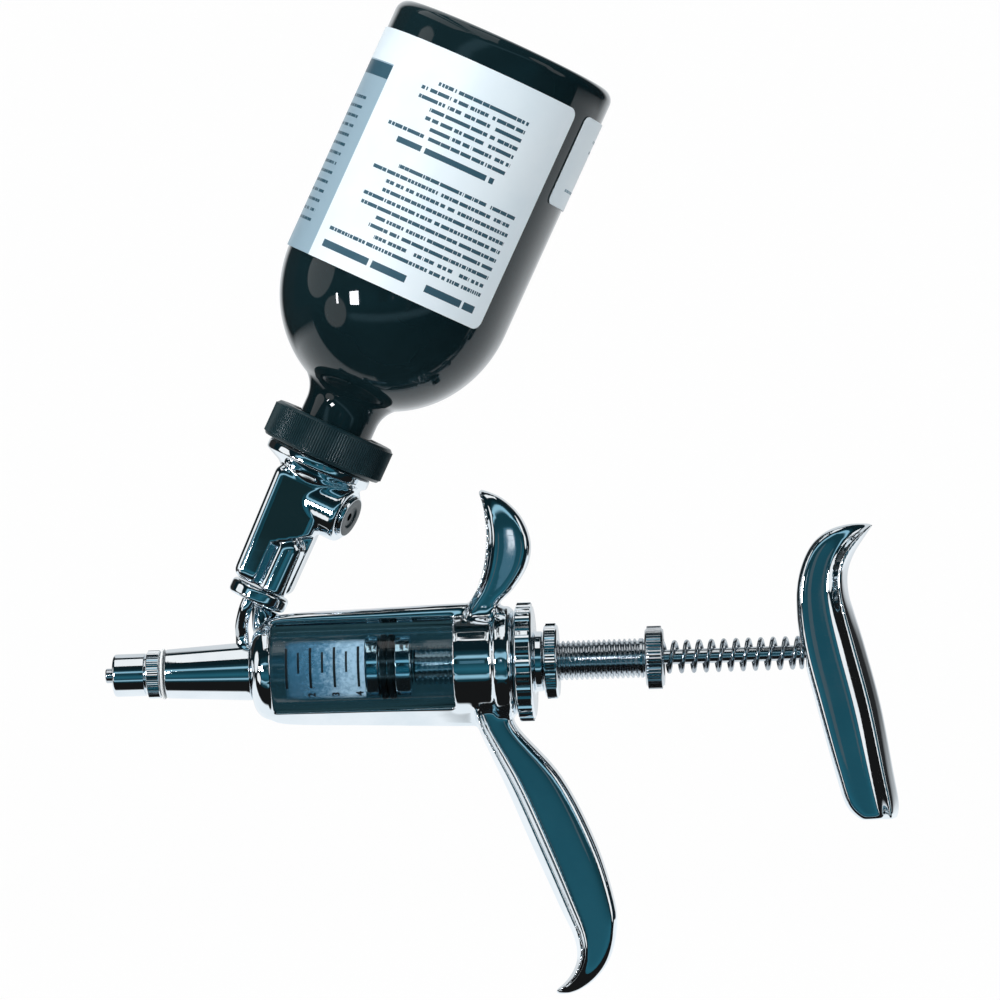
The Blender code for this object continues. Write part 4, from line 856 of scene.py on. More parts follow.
def digit(text, station, height, size):
    """A plain number of the scale, wrapped on the barrel. It reads along the marks."""
    curve = bpy.data.curves.new("number", "FONT")
    curve.body = text
    curve.size = size * MM
    curve.extrude = 0.05 * MM
    curve.align_x = "CENTER"
    curve.offset = 0.06 * MM
    curve.resolution_u = 6
    letter = added("number", curve)
    mesh = bpy.data.meshes.new_from_object(letter.evaluated_get(bpy.context.evaluated_depsgraph_get()))
    bpy.data.objects.remove(letter)
    for vert in mesh.vertices:
        x, up, out = vert.co / MM
        angle = (height + x) / BARREL_RADIUS
        layer = BARREL_RADIUS + 0.07 + out
        vert.co = Vector((station + size * 0.35 - up, -layer * math.cos(angle), layer * math.sin(angle))) * MM
    mesh.materials.append(ENAMEL)
    return added("number", mesh)


def make_scale():
    """The scale: a bluish panel, long marks a millilitre apart, short ones between, and plain numbers."""
    panel = wrapped("scale_panel", -44.7, -26.6, -6.6, 6.6, BARREL_RADIUS + 0.01, 0.03, PANEL, 8)
    put(panel, "frame", "white_plastic")
    radius, thick, millilitre = BARREL_RADIUS + 0.04, 0.04, 5.4
    marks = []
    for index in range(4):
        station = -44.2 + millilitre * index
        marks.append(wrapped("mark", station - 0.28, station + 0.28, -4.0, 5.0, radius, thick, ENAMEL))
        if index < 3:
            half = station + 2.7
            marks.append(wrapped("mark", half - 0.24, half + 0.24, -0.6, 4.0, radius, thick, ENAMEL))
            marks.append(digit(str(index + 2), station + millilitre, -5.9, 2.3))
    scale = joined("scale_marks", marks)
    put(scale, "frame", "black_plastic")


make_scale()


# Casting, horn, grip and palm handle

# Edges of each handle in the XZ plane, from the frame outwards or from the top down, in millimetres
HORN_FRONT = [(-5, 9), (-3.4, 13.3), (-1, 17.6), (0.5, 23), (1.1, 28.5), (0.9, 33), (0.4, 36.5), (-0.4, 38.8)]
HORN_BACK = [(2, 9), (3, 12.9), (7, 16.9), (10.2, 22), (10.9, 27.3), (8.9, 32.8), (4.9, 37), (0.5, 39.1)]
GRIP_FRONT = [
    (-4, -9), (-2, -15), (3.6, -28), (9.2, -42), (14.6, -55), (17.6, -62), (18.2, -66.6), (17, -70),
    (14.9, -72.6), (12.9, -74.1),
]
GRIP_BACK = [
    (5.4, -9), (6.4, -14.4), (16, -26), (23.2, -41), (27, -54.5), (27.2, -61), (25.6, -67), (22.3, -71.4),
    (17.8, -74.2), (13.5, -74.8),
]
PALM_FRONT = [
    (86.4, 28.4), (82, 28.3), (77.4, 26.9), (73.6, 23.5), (71, 17.5), (70.2, 10.5), (71, 1), (74, -12.5),
    (77.5, -27), (79.8, -34.6), (83.2, -37.9),
]
PALM_BACK = [
    (87.9, 28.1), (85.9, 25.4), (83.4, 21.7), (81.9, 17.6), (81.9, 13), (83, 8.6), (85.1, 1), (88.2, -12.5),
    (90.4, -27), (91.4, -34.2), (90.9, -37.7),
]

# Section of each handle from its thin edge to its flange: share of the chord, half thickness in millimetres
HORN_SECTION = [
    (0.0, 2.6), (0.05, 3.6), (0.15, 4.25), (0.5, 4.3), (0.7, 4.35), (0.8, 4.6), (0.86, 5.3), (0.9, 6.1),
    (0.93, 6.4), (0.95, 5.9), (0.975, 3.4), (1.0, 0.9),
]
GRIP_SECTION = [
    (0.0, 2.7), (0.05, 3.8), (0.15, 4.5), (0.5, 4.6), (0.69, 4.6), (0.71, 4.66), (0.75, 4.98), (0.765, 5.25),
    (0.82, 6.95), (0.835, 7.2), (0.855, 6.8), (0.89, 5.4), (0.94, 3.4), (1.0, 0.9),
]
PALM_SECTION = [
    (0.0, 3.1), (0.04, 4.4), (0.13, 5.25), (0.4, 5.3), (0.55, 5.3), (0.575, 5.4), (0.625, 5.82), (0.65, 6.05),
    (0.81, 7.85), (0.835, 8.0), (0.865, 7.3), (0.9, 6.0), (0.95, 3.7), (1.0, 1.0),
]


def bored_wall():
    """The bored wall behind the glass: its teal tint and faint teal glow are painted light, standing for the
    dim bore seen through the glass.
    """
    material = metal("bored wall", (0.12, 0.25, 0.31, 1), (0.08, 0.18, 0.23, 1), 0.3, 0.2, 0.004, lathe=0.5)
    shader = material.node_tree.nodes["Principled BSDF"]
    # Painted light: a faint teal glow from the wall itself, though it is no lamp.
    shader.inputs["Emission Color"].default_value = (0.3, 0.75, 0.9, 1)
    shader.inputs["Emission Strength"].default_value = 0.045
    return material


BORED = bored_wall()


def ring_across(fore, aft, section, size):
    """A smooth closed ring round a handle, from its section."""
    sides = [(share, -half * size) for share, half in section]
    sides += [(share, half * size) for share, half in reversed(section)]
    count = len(sides)
    ring = []
    for index in range(count):
        ends = [Vector(sides[(index + move) % count]) for move in (-1, 0, 1, 2)]
        for step in range(5):
            turn = on_curve(*ends, step / 5)
            place = fore.lerp(aft, min(max(turn.x, 0.0), 1.0))
            ring.append((place.x, turn.y, place.y))
    return ring


def handle(name, front, back, section, flange_at_back, ends, material):
    """A cast handle between two edges, narrowing to its tips over the shares of its length in ends."""
    steps = 12
    fore_line, aft_line = flowing(front, steps), flowing(back, steps)
    count = len(fore_line)
    rings = []
    for index in range(count):
        share = index / (count - 1)
        size = 1.0
        for length, distance in zip(ends, (share, 1 - share)):
            if length and distance < length:
                size = math.sqrt(max(1 - (1 - distance / length) ** 2, 0.0)) * 0.75 + 0.25
        fore, aft = fore_line[index], aft_line[index]
        if not flange_at_back:
            fore, aft = aft, fore
        rings.append(ring_across(fore, aft, section, size))
    return lofted(name, rings, material)


def rod(name, start, end, radius, material, place=None, steps=96):
    """A plain round rod between two points in millimetres, for joining and cutting."""
    start, end = Vector(start), Vector(end)
    length = (end - start).length
    points, faces = turned_faces([(0.0, 0.0), (0.0, radius), (length, radius), (length, 0.0)], steps, False)
    turn = (end - start).to_track_quat("X", "Z").to_matrix().to_4x4()
    world = Matrix.Translation(start * MM) @ turn
    if place is not None:
        world = place @ world
    return facing_out(new_piece(name, points, faces, material, world))


def block(name, low, high, material):
    """A plain block between two corners in millimetres, for cutting."""
    work = bmesh.new()
    bmesh.ops.create_cube(work, size=1.0)
    low, high = Vector(low), Vector(high)
    for vert in work.verts:
        vert.co = Vector([low[i] + (vert.co[i] + 0.5) * (high[i] - low[i]) for i in range(3)]) * MM
    return made_from(work, name, material)


def remeshed(piece, voxel):
    """The piece with an even mesh, whose joined solids have run together."""
    modifier = piece.modifiers.new("even mesh", "REMESH")
    modifier.mode = "VOXEL"
    modifier.voxel_size = voxel * MM
    modifier.use_smooth_shade = True
    return settled(piece)


def cut_out(piece, cutter):
    """Take a solid out of a piece."""
    modifier = piece.modifiers.new("cut", "BOOLEAN")
    modifier.operation = "DIFFERENCE"
    modifier.solver = "MANIFOLD"
    modifier.object = cutter
    settled(piece)
    bpy.data.objects.remove(cutter)


def cast(name, solids, cutters, voxel, passes, material):
    """A casting: solids run together, cutters taken out, and every edge softened as polishing does."""
    piece = remeshed(joined(name, solids), voxel)
    for cutter in cutters:
        cut_out(piece, cutter)
    remeshed(piece, voxel)
    modifier = piece.modifiers.new("polish", "SMOOTH")
    modifier.factor = 0.5
    modifier.iterations = passes
    settled(piece)
    piece.data.materials.clear()
    piece.data.materials.append(material)
    piece.data.shade_smooth()
    return piece


def rib(side, front, rear, foot, crest, round_edge):
    """A rib along the frame. Its sides run from foot to crest, half widths, with rounded edges."""
    ridge = [
        (-50.6, 10.2), (-49.6, 10.7), (-45.1, SHELL_RADIUS + front),
        (-26.0, SHELL_RADIUS + (front + rear) / 2 + 0.05), (-7.75, SHELL_RADIUS + rear),
        (-2.25, SHELL_RADIUS + rear), (2.2, 13.0), (3.45, 12.6),
    ]
    rings = []
    for point in flowing(ridge, 10):
        top = point.y
        slope = math.atan2(top - 9.4, foot - crest)
        half = [(foot, 5.6), (foot, 9.4)]
        for step in range(9):
            angle = (math.pi / 2 - slope) + slope * step / 8
            inward, down = round_edge * (1 - math.cos(angle)), round_edge * (1 - math.sin(angle))
            half.append((crest - inward, top - down))
        half.append((0.0, top))
        across = half + [(-y, z) for y, z in reversed(half[:-1])]
        rings.append([(point.x, y, side * z) for y, z in across])
    return lofted("rib", rings, CHROME)


def make_casting():
    """The chromed frame: nose, window, ribs, collar, horn, finger grip and the stub under the elbow."""
    shell = turned(
        "shell",
        [(FRAME_FRONT, 0.0), (FRAME_FRONT, SHELL_RADIUS, 4.0), (COLLAR_FRONT, SHELL_RADIUS),
         (COLLAR_FRONT, COLLAR_RADIUS), (1.85, COLLAR_RADIUS), (2.65, RIM_RADIUS), (5.55, RIM_RADIUS),
         (6.75, RIM_RADIUS - 1.1), (6.75, 0.0)],
        CHROME,
    )
    horn = handle("horn", HORN_FRONT, HORN_BACK, HORN_SECTION, False, (0.0, 0.4), CHROME)
    grip = handle("grip", GRIP_FRONT, GRIP_BACK, GRIP_SECTION, False, (0.0, 0.3), CHROME)
    stub_low, stub_high = [], []
    for step in range(48):
        angle = 2 * math.pi * step / 48
        east, north = math.cos(angle), math.sin(angle)
        stub_low.append((-48.8 + 3.8 * east, 3.8 * north, 9.2))
        top = ON_BOTTLE @ (Vector((-4.1, 0.9 + 3.3 * north, -2.2 - 3.3 * east)) * MM)
        stub_high.append(tuple(top / MM))
    stub = lofted("stub", [stub_low, stub_high], CHROME)
    stud = rod("stud", (-5.3, *STUD), (8.0, *STUD), 1.9, CHROME, ON_BOTTLE, 48)
    bore = turned(
        "bore", [(-55.0, 0.0), (-55.0, 5.3), (-50.4, 5.3), (-50.4, 9.75), (8.0, 9.75), (8.0, 0.0)], CHROME,
    )
    window = block("window", (WINDOW_FRONT, -24.0, -9.4), (COLLAR_FRONT, -2.0, 10.7), CHROME)
    ribs = [rib(1, 1.4, 2.4, 4.7, 4.4, 1.5), rib(-1, 1.1, 2.7, 6.1, 1.9, 1.4)]
    solids = [shell, *ribs, horn, grip, stub, stud]
    casting = cast("chromed_casting", solids, [bore, window], 0.42, 5, CHROME)
    # The faces inside the bore take the bored wall, whose teal tint and glow are painted light.
    casting.data.materials.append(BORED)
    for face in casting.data.polygons:
        middle = face.center / MM
        if math.hypot(middle.y, middle.z) < 10.1 and -50.7 < middle.x < 6.6:
            face.material_index = 1
    put(casting, "frame", "chrome", "frame_casting")


def make_palm_handle():
    """The handle that the palm pushes, with its seat for the spring."""
    solid = handle("palm", PALM_FRONT, PALM_BACK, PALM_SECTION, True, (0.25, 0.03), CHROME)
    seat = rod("spring seat", (62.0, 0, 0), (72.28, 0, 0), 4.3, CHROME)
    hole = rod("rod hole", (71.0, 0, 0), (79.58, 0, 0), ROD_HOLE, CHROME, steps=48)
    palm = cast("palm_push", [solid], [seat, hole], 0.34, 4, CHROME)
    put(palm, "plunger", "chrome", "palm_handle")


make_casting()
make_palm_handle()


# Elbow, vent, foot and feed tube

GAP = 0.3
DISC_LIFT, DISC_THICK = 0.6, 0.8
VENT_STATION, VENT_REACH, VENT_DEPTH = 22.6, 11.4, 5.0
VENT_TURN = math.radians(15)
VENT_WAY = Vector((0.0, -math.sin(VENT_TURN), -math.cos(VENT_TURN)))


def prism(name, outline, low, high, material, place, bevel=0.0):
    """A block whose side is an outline in the XZ plane, from low to high in Y, with rounded edges."""
    work = bmesh.new()
    front = [work.verts.new(Vector((x, low, z)) * MM) for x, z in outline]
    back = [work.verts.new(Vector((x, high, z)) * MM) for x, z in outline]
    work.faces.new(front)
    work.faces.new(reversed(back))
    for index in range(len(outline)):
        after = (index + 1) % len(outline)
        work.faces.new((front[index], back[index], back[after], front[after]))
    bmesh.ops.recalc_face_normals(work, faces=work.faces)
    if bevel:
        bmesh.ops.bevel(
            work, geom=work.edges[:], offset=bevel * MM, segments=8, profile=0.5, affect="EDGES",
            clamp_overlap=True,
        )
    return made_from(work, name, material, place)


def vent_place():
    """Where the vent boss is: its axis along X, from the axis of the bottle."""
    turn = VENT_WAY.to_track_quat("X", "Z").to_matrix().to_4x4()
    return ON_BOTTLE @ Matrix.Translation(Vector((VENT_STATION, 0.0, 0.0)) * MM) @ turn


def make_elbow():
    """The chromed elbow: block, stepped recess, inlet chamber, vent boss, flange and bottle cup."""
    body = prism(
        "block", [(0.0, -6.4), (0.0, 6.9), (27.5, 7.8), (27.5, -6.4)], -7.0, 6.5, CHROME, ON_BOTTLE, 2.2,
    )
    recess = prism(
        "recess", [(-5.0, 1.7), (10.3, 1.7), (19.68, -12.8), (-5.0, -12.8)], -14.0, -3.6, CHROME, ON_BOTTLE,
    )
    body = remeshed(body, 0.28)
    cut_out(body, recess)
    angles = [math.radians(a) for a in range(8, 90, 8)]
    dome = [(0.0, 0.0), (0.0, 3.4), (10.2, 3.4)]
    dome += [(10.2 + 3.4 * math.sin(a), 3.4 * math.cos(a)) for a in angles]
    dome += [(13.6, 0.0)]
    chamber = turned("chamber", dome, CHROME, ON_BOTTLE @ Matrix.Translation(CHAMBER * MM), 64)
    boss = turned(
        "vent boss", [(0.0, 0.0), (0.0, 6.5), (VENT_REACH, 6.5, 1.0), (VENT_REACH, 0.0)],
        CHROME, vent_place(), 96,
    )
    flange = turned(
        "flange",
        [(25.5, 0.0), (25.5, 6.5), (27.7, 8.5, 1.2), (28.7, 10.7, 0.6), (29.5, 12.3, 0.5),
         (31.6, 12.3, 0.35), (31.6, 11.7), (36.1, 11.7, 0.2), (36.1, 0.0)],
        CHROME, ON_BOTTLE, 160,
    )
    cup = rod("cup", (32.1, 0, 0), (38.5, 0, 0), 10.6, CHROME, ON_BOTTLE, 160)
    spike_hole = rod("spike hole", (11.0, 0, 0), (33.5, 0, 0), 1.3, CHROME, ON_BOTTLE, 32)
    valve_ends = CHAMBER + Vector((-1, 0, 0)), CHAMBER + Vector((10.4, 0, 0))
    valve_hole = rod("valve hole", *valve_ends, 2.1, CHROME, ON_BOTTLE, 48)
    stud_hole = rod("stud hole", (-1.0, *STUD), (6.0, *STUD), 2.2, CHROME, ON_BOTTLE, 48)
    centre = Vector((VENT_STATION, 0, 0))
    vent_ends = centre + VENT_WAY * (VENT_REACH - VENT_DEPTH), centre + VENT_WAY * (VENT_REACH + 1.0)
    vent_hole = rod("vent hole", *vent_ends, 4.2, CHROME, ON_BOTTLE, 64)
    solids = [body, chamber, boss, flange]
    holes = [cup, spike_hole, valve_hole, stud_hole, vent_hole]
    elbow = cast("chromed_elbow", solids, holes, 0.28, 4, CHROME)
    put(elbow, "frame", "chrome", "bottle_elbow")


def make_vent_cap():
    """The plug of the vent boss, with a dark plastic middle that is a painted dark reflection on its face."""
    seat = VENT_REACH - VENT_DEPTH + GAP + DISC_LIFT + DISC_THICK + GAP
    plug = turned(
        "vent_cap",
        [(seat, 0.9, 0.1), (seat, 3.9, 0.1), (11.7, 3.9, 0.05), (11.7, 5.1, 0.15), (12.5, 4.6, 0.35),
         (12.5, 2.6, 0.25), (12.1, 2.2, 0.15), (12.1, 0.9, 0.1)],
        TURNED_CHROME, vent_place(), 96, closed=True,
    )
    # Painted reflection: the middle of the face takes dark plastic, standing for the dark surroundings that
    # its chrome mirrors.
    plug.data.materials.append(RING_PLASTIC)
    inward = vent_place().inverted()
    for face in plug.data.polygons:
        middle = inward @ face.center / MM
        if middle.x > 11.8 and math.hypot(middle.y, middle.z) < 4.0:
            face.material_index = 1
    put(plug, "frame", "chrome", "vent_plug")


def make_foot():
    """Round foot between the stub and the elbow, and the tube that feeds the valve body from it."""
    solid = turned(
        "foot", [(-3.8, 0.0), (-3.8, 6.8, 1.0), (-0.3, 6.8, 0.9), (-0.3, 0.0)], CHROME, ON_BOTTLE, 128,
    )
    tube_hole = rod("tube socket", (-4.8, *TUBE_SOCKET), (-2.3, *TUBE_SOCKET), 1.8, CHROME, ON_BOTTLE, 40)
    stud_hole = rod("stud socket", (-4.8, *STUD), (0.7, *STUD), 2.2, CHROME, ON_BOTTLE, 48)
    foot = cast("chromed_foot", [solid], [tube_hole, stud_hole], 0.2, 4, CHROME)
    put(foot, "frame", "chrome", "elbow_foot")
    foot_end = ON_BOTTLE @ (Vector((-2.6, *TUBE_SOCKET)) * MM) / MM
    below = ON_BOTTLE @ (Vector((-5.2, *TUBE_SOCKET)) * MM) / MM
    low = Vector((-54.9, 0.0, 5.6))
    rise = below.z - low.z
    control = [
        low, low + Vector((0, 0, 0.25 * rise)), low + Vector((0.1, -1.02, 0.52 * rise)),
        Vector((low.x + 0.5 * (below.x - low.x), -2.448, low.z + 0.78 * rise)), below, foot_end,
    ]
    tube = along("bent_feed_tube", flowing([tuple(p) for p in control], 10), 1.5, 24, CHROME)
    put(tube, "frame", "steel", "feed_tube")


make_elbow()
make_vent_cap()
make_foot()


# Bottle, crimp, ring and labels

LABEL_LOW, LABEL_HIGH = 72.6, 126.2
PAPER_RADIUS, PAPER_THICK = 26.57, 0.2


def shoulder(neck, full, fillet, steps):
    """The neck and shoulder from the ring up: a fillet at the neck, then part of an ellipse."""
    points = []
    for step in range(13):
        angle = math.radians(4 * step)
        points.append((43.1 + fillet * math.sin(angle), neck + fillet * (1 - math.cos(angle))))
    low_station, low_radius = points[-1]
    lowest = math.asin(low_radius / full)
    for step in range(1, steps + 1):
        angle = lowest + (math.pi / 2 - lowest) * step / steps
        share = (math.cos(lowest) - math.cos(angle)) / math.cos(lowest)
        points.append((low_station + (74.1 - low_station) * share, full * math.sin(angle)))
    return points


def make_bottle():
    """Dark glass bottle, upside down, with a slightly hollow base."""
    outer = [(36.2, 6.3, 0.3), (36.2, 9.55, 0.3), (39.1, 9.55, 0.2), (39.1, 8.6, 0.2)]
    outer += shoulder(8.6, 26.4, 7.0, 28)
    outer += [(128.0, 26.4), (133.7, 26.4, 4.3), (133.7, 17.5, 3.0), (132.7, 14.0, 3.0), (132.4, 0.0)]
    inner = [(130.2, 0.0), (130.2, 24.1, 4.0)]
    inner += list(reversed(shoulder(6.3, 24.1, 9.3, 14)))
    bottle = turned("dark_bottle", outer[::-1] + inner[::-1], BOTTLE_GLASS, ON_BOTTLE, 192)
    put(bottle, "frame", "dark_glass", "bottle")
    crimp = turned(
        "crimped_cap",
        [(32.4, 4.5, 0.1), (32.4, 10.25, 0.5), (39.8, 10.25, 0.4), (39.8, 8.9, 0.1), (39.4, 8.9, 0.1),
         (39.4, 9.85, 0.2), (32.8, 9.85, 0.3), (32.8, 4.5, 0.1)],
        ALUMINIUM, ON_BOTTLE, 128, closed=True,
    )
    put(crimp, "frame", "aluminium", "crimp_collar")
    ring = turned(
        "knurled_bottle_ring",
        [(31.9, 12.0, 0.2), (31.9, 13.7, 0.3), (32.5, 14.12, 0.15), (39.5, 14.12, 0.2), (40.1, 13.6, 0.35),
         (40.1, 10.67, 0.3), (38.6, 10.67, 0.2), (38.6, 12.0, 0.2)],
        RING_PLASTIC, steps=200, closed=True,
    )
    with_ribs(ring, 150, 14.12, 0.27, 6, 32.6, 39.4, RING_PLASTIC, ON_BOTTLE)
    put(ring, "bottle_ring", "black_plastic", "bottle_ring")


def paper(name, low, high, start, end, corner, material, columns):
    """A paper label round the bottle between two angles, with rounded corners and a flat map."""
    rows = [low + corner * (1 - math.cos(math.pi / 2 * i / 6)) for i in range(7)]
    rows += list(np.linspace(low + corner, high - corner, 24)[1:-1])
    rows += [high - corner * (1 - math.cos(math.pi / 2 * i / 6)) for i in range(6, -1, -1)]
    width = PAPER_RADIUS * (end - start)
    points, flats = [], []
    for layer in (PAPER_RADIUS, PAPER_RADIUS + PAPER_THICK):
        for station in rows:
            near = min(station - low, high - station)
            inset = 0.0
            if near < corner:
                inset = corner - math.sqrt(max(corner ** 2 - (corner - near) ** 2, 0.0))
            for column in range(columns + 1):
                reach = inset + (width - 2 * inset) * column / columns
                angle = start + reach / PAPER_RADIUS
                points.append((station, -layer * math.cos(angle), -layer * math.sin(angle)))
                flats.append((reach / 100, (station - low) / 100))
    faces = sheet_faces(columns, len(rows) - 1)
    piece = new_piece(name, points, faces, material, ON_BOTTLE)
    layer = piece.data.uv_layers.new(name="Paper")
    for loop in piece.data.loops:
        layer.data[loop.index].uv = flats[loop.vertex_index]
    work = bmesh.new()
    work.from_mesh(piece.data)
    bmesh.ops.recalc_face_normals(work, faces=work.faces)
    work.to_mesh(piece.data)
    work.free()
    return piece


def rules_group():
    """Printed rules of plain length across a label: a mask of rows between two heights."""
    numbers = {
        "Across": 0.0, "Up": 0.0, "Left": 0.0, "Right": 1.0, "Low": 0.0, "High": 1.0,
        "Rows": 6.0, "Weight": 0.3, "Ragged": 0.2, "Breaks": 0.8,
    }
    group = new_group(
        "Printed rules",
        [(label, "NodeSocketFloat", value) for label, value in numbers.items()],
        [("Mask", "NodeSocketFloat")],
    )
    into = group.nodes.new("NodeGroupInput").outputs
    above = sums(group, "SUBTRACT", into["Up"], into["Low"])
    share = sums(group, "DIVIDE", above, sums(group, "SUBTRACT", into["High"], into["Low"]))
    row = times(group, share, into["Rows"])
    number = sums(group, "FLOOR", row)
    off_line = sums(group, "ABSOLUTE", sums(group, "SUBTRACT", sums(group, "FRACT", row), 0.5))
    line = sums(group, "LESS_THAN", off_line, times(group, into["Weight"], 0.5))
    hashed = sums(group, "FRACT", times(group, sums(group, "SINE", times(group, number, 12.9898)), 43.7585))
    width = sums(group, "SUBTRACT", into["Right"], into["Left"])
    start = sums(group, "ADD", into["Left"], times(group, hashed, into["Ragged"], width))
    inside = between(group, into["Across"], start, into["Right"])
    gaps = {0: into["Across"], 1: times(group, number, 7.3), 2: into["Low"]}
    broken = noise(group, node(group, "ShaderNodeCombineXYZ", gaps).outputs[0], into["Breaks"], 0.0)
    away = sums(group, "ABSOLUTE", sums(group, "SUBTRACT", broken, 0.5))
    inside = times(group, inside, sums(group, "GREATER_THAN", away, 0.03))
    return give(group, Mask=times(group, line, inside, between(group, share, 0.0, 1.0)))


RULES = rules_group()


def printed_paper(name, blocks, panels):
    """Coated white paper with plain printed rules, and tinted panels, both placed in millimetres."""
    material, tree, shader, place = new_material(name, Coat_Weight=0.25, Coat_Roughness=0.2)
    flat = node(tree, "ShaderNodeUVMap", uv_map="Paper")
    parts = node(tree, "ShaderNodeSeparateXYZ", {0: flat.outputs[0]}).outputs
    across, up = times(tree, parts[0], 100.0), times(tree, parts[1], 100.0)
    sheet = mottled(tree, place, 18.0, (0.8, 0.88, 0.93, 1), (0.74, 0.84, 0.9, 1))
    for left, right, low, high, colour in panels:
        inside = times(tree, between(tree, across, left, right), between(tree, up, low, high))
        sheet = blended(tree, inside, sheet, colour)
    for left, right, low, high, rows, weight, ragged, colour in blocks:
        mask = grouped(
            tree, RULES,
            {"Across": across, "Up": up, "Left": left, "Right": right, "Low": low, "High": high, "Rows": rows,
             "Weight": weight, "Ragged": ragged, "Breaks": 0.8 if rows > 1 else 0.14},
        )["Mask"]
        sheet = blended(tree, mask, sheet, colour)
    tree.links.new(sheet, shader.inputs["Base Color"])
    handled(tree, shader, place, 0.4, 0.15, 14.0, 0.2)
    bumped(tree, shader, noise(tree, place, 1800.0, 3.0), 0.006)
    return material


INK = (0.03, 0.09, 0.13, 1)
SOFT_INK = (0.12, 0.25, 0.33, 1)
PANEL_TINT = (0.28, 0.4, 0.48, 1)


def make_labels():
    """The paper labels, with plain printed rules."""
    start, end = math.radians(-135), math.radians(54)
    panel_end = PAPER_RADIUS * math.radians(135 - 47)
    main = printed_paper(
        "label paper",
        [
            (panel_end + 6, panel_end + 36, 33.0, 47.0, 7.0, 0.42, 0.35, INK),
            (panel_end + 10, panel_end + 34, 30.2, 32.4, 1.0, 0.6, 0.0, INK),
            (panel_end + 3, panel_end + 43, 6.4, 27.0, 10.0, 0.4, 0.3, INK),
            (panel_end + 3, panel_end + 43, 2.4, 5.2, 1.0, 0.6, 0.0, INK),
            (6, panel_end - 5, 6.0, 38.0, 14.0, 0.3, 0.4, INK),
        ],
        [(0.0, panel_end, 0.0, 46.0, PANEL_TINT), (0.0, panel_end, 42.4, 45.7, INK)],
    )
    label = paper("front_label", LABEL_LOW, LABEL_HIGH, start, end, 2.2, main, 72)
    put(label, "frame", "white_paper", "bottle_label")
    side = printed_paper("side label paper", [(5, 36, 3.0, 18.0, 6.0, 0.25, 0.4, SOFT_INK)], [])
    second = paper("rear_label", 105.0, LABEL_HIGH, math.radians(63), math.radians(153), 1.5, side, 36)
    put(second, "frame", "white_paper", "side_label")


make_bottle()
make_labels()


# Camera, at the photograph's angle

def set_camera():
    """The camera of the photograph: almost side on, a little rolled."""
    distance, turn, roll = 1.125, math.radians(4.0), math.radians(2.07)
    pixel, half_frame = 0.000225, 500
    forward = Vector((-math.sin(turn), math.cos(turn), 0.0))
    right = Vector((math.cos(turn), math.sin(turn), 0.0))
    up = Vector((0.0, 0.0, 1.0))
    top = up * math.cos(roll) + right * math.sin(roll)
    side = right * math.cos(roll) - up * math.sin(roll)
    data = bpy.data.cameras.new("photo camera")
    data.sensor_width = 36.0
    data.angle = 2 * math.atan(half_frame * pixel / distance)
    data.clip_start = 0.05
    camera = added("photo camera", data)
    turned_to = Matrix((side, top, -forward)).transposed().to_4x4()
    place = -distance * forward + 14 * pixel * side + 163.2 * pixel * top
    camera.matrix_world = Matrix.Translation(place) @ turned_to
    bpy.context.scene.camera = camera


# Floor, backdrop, world and lamps

FLOOR_HEIGHT = -0.101


def bounced(tree, path):
    """One for rays that come off a mirror or through glass."""
    return sums(tree, "MAXIMUM", path["Is Glossy Ray"], path["Is Transmission Ray"])


def glow(tree, colour, strength=1.0):
    """Light of a colour."""
    return node(tree, "ShaderNodeEmission", {"Color": (*colour, 1), "Strength": strength}).outputs[0]


def either(tree, share, first, second):
    """One shader or another, by a share."""
    return node(tree, "ShaderNodeMixShader", {0: share, 1: first, 2: second}).outputs[0]


def set_floor():
    """A pale floor that sweeps up behind the object, white to the camera and to reflections."""
    material, tree, shader, place = new_material("pale studio floor", Roughness=0.9)
    colour = mottled(tree, place, 60.0, (0.86, 0.86, 0.86, 1), (0.84, 0.84, 0.84, 1))
    tree.links.new(colour, shader.inputs["Base Color"])
    path = tree.nodes.new("ShaderNodeLightPath").outputs
    parts = node(tree, "ShaderNodeSeparateXYZ", {0: place}).outputs
    middle = faded(tree, sums(tree, "ABSOLUTE", parts[0]), 0.5, 0.75, 1.0, 0.03)
    edge = faded(tree, parts[0], -0.066, -0.056, -0.012, 0.008)
    lit = faded(tree, sums(tree, "SUBTRACT", parts[1], edge), -0.006, 0.006, 0.01, 1.0)
    far = faded(tree, parts[1], 0.5, 0.9, 1.0, 0.76)
    white = glow(tree, WHITE)
    mirrored = glow(tree, (0.93, 0.97, 1), times(tree, middle, lit, far))
    plain = either(tree, times(tree, path["Is Camera Ray"], 0.96), shader.outputs[0], white)
    front = either(tree, bounced(tree, path), plain, mirrored)
    reverse = tree.nodes.new("ShaderNodeNewGeometry").outputs["Backfacing"]
    hidden = times(tree, path["Is Camera Ray"], reverse)
    shown = either(tree, hidden, front, node(tree, "ShaderNodeBsdfTransparent").outputs[0])
    tree.links.new(shown, tree.nodes["Material Output"].inputs["Surface"])
    line = [(-130.0, 0.0), (0.0, 0.0)]
    for step in range(19):
        angle = math.pi / 2 * step / 18
        line.append((700.0 + 300.0 * math.sin(angle), 300.0 - 300.0 * math.cos(angle)))
    line.append((1000.0, 2400.0))
    points = [(side, y, z + FLOOR_HEIGHT / MM) for y, z in line for side in (-2200.0, 2200.0)]
    faces = [(2 * i, 2 * i + 1, 2 * i + 3, 2 * i + 2) for i in range(len(line) - 1)]
    floor = new_piece("studio_floor", points, faces, material)


WHITE = (1.0, 1.0, 1.0)
DARK = (0.004, 0.014, 0.019)
DEEP = (0.008, 0.045, 0.062)
TEAL = (0.02, 0.12, 0.17)
PALE = (0.3, 0.55, 0.68)

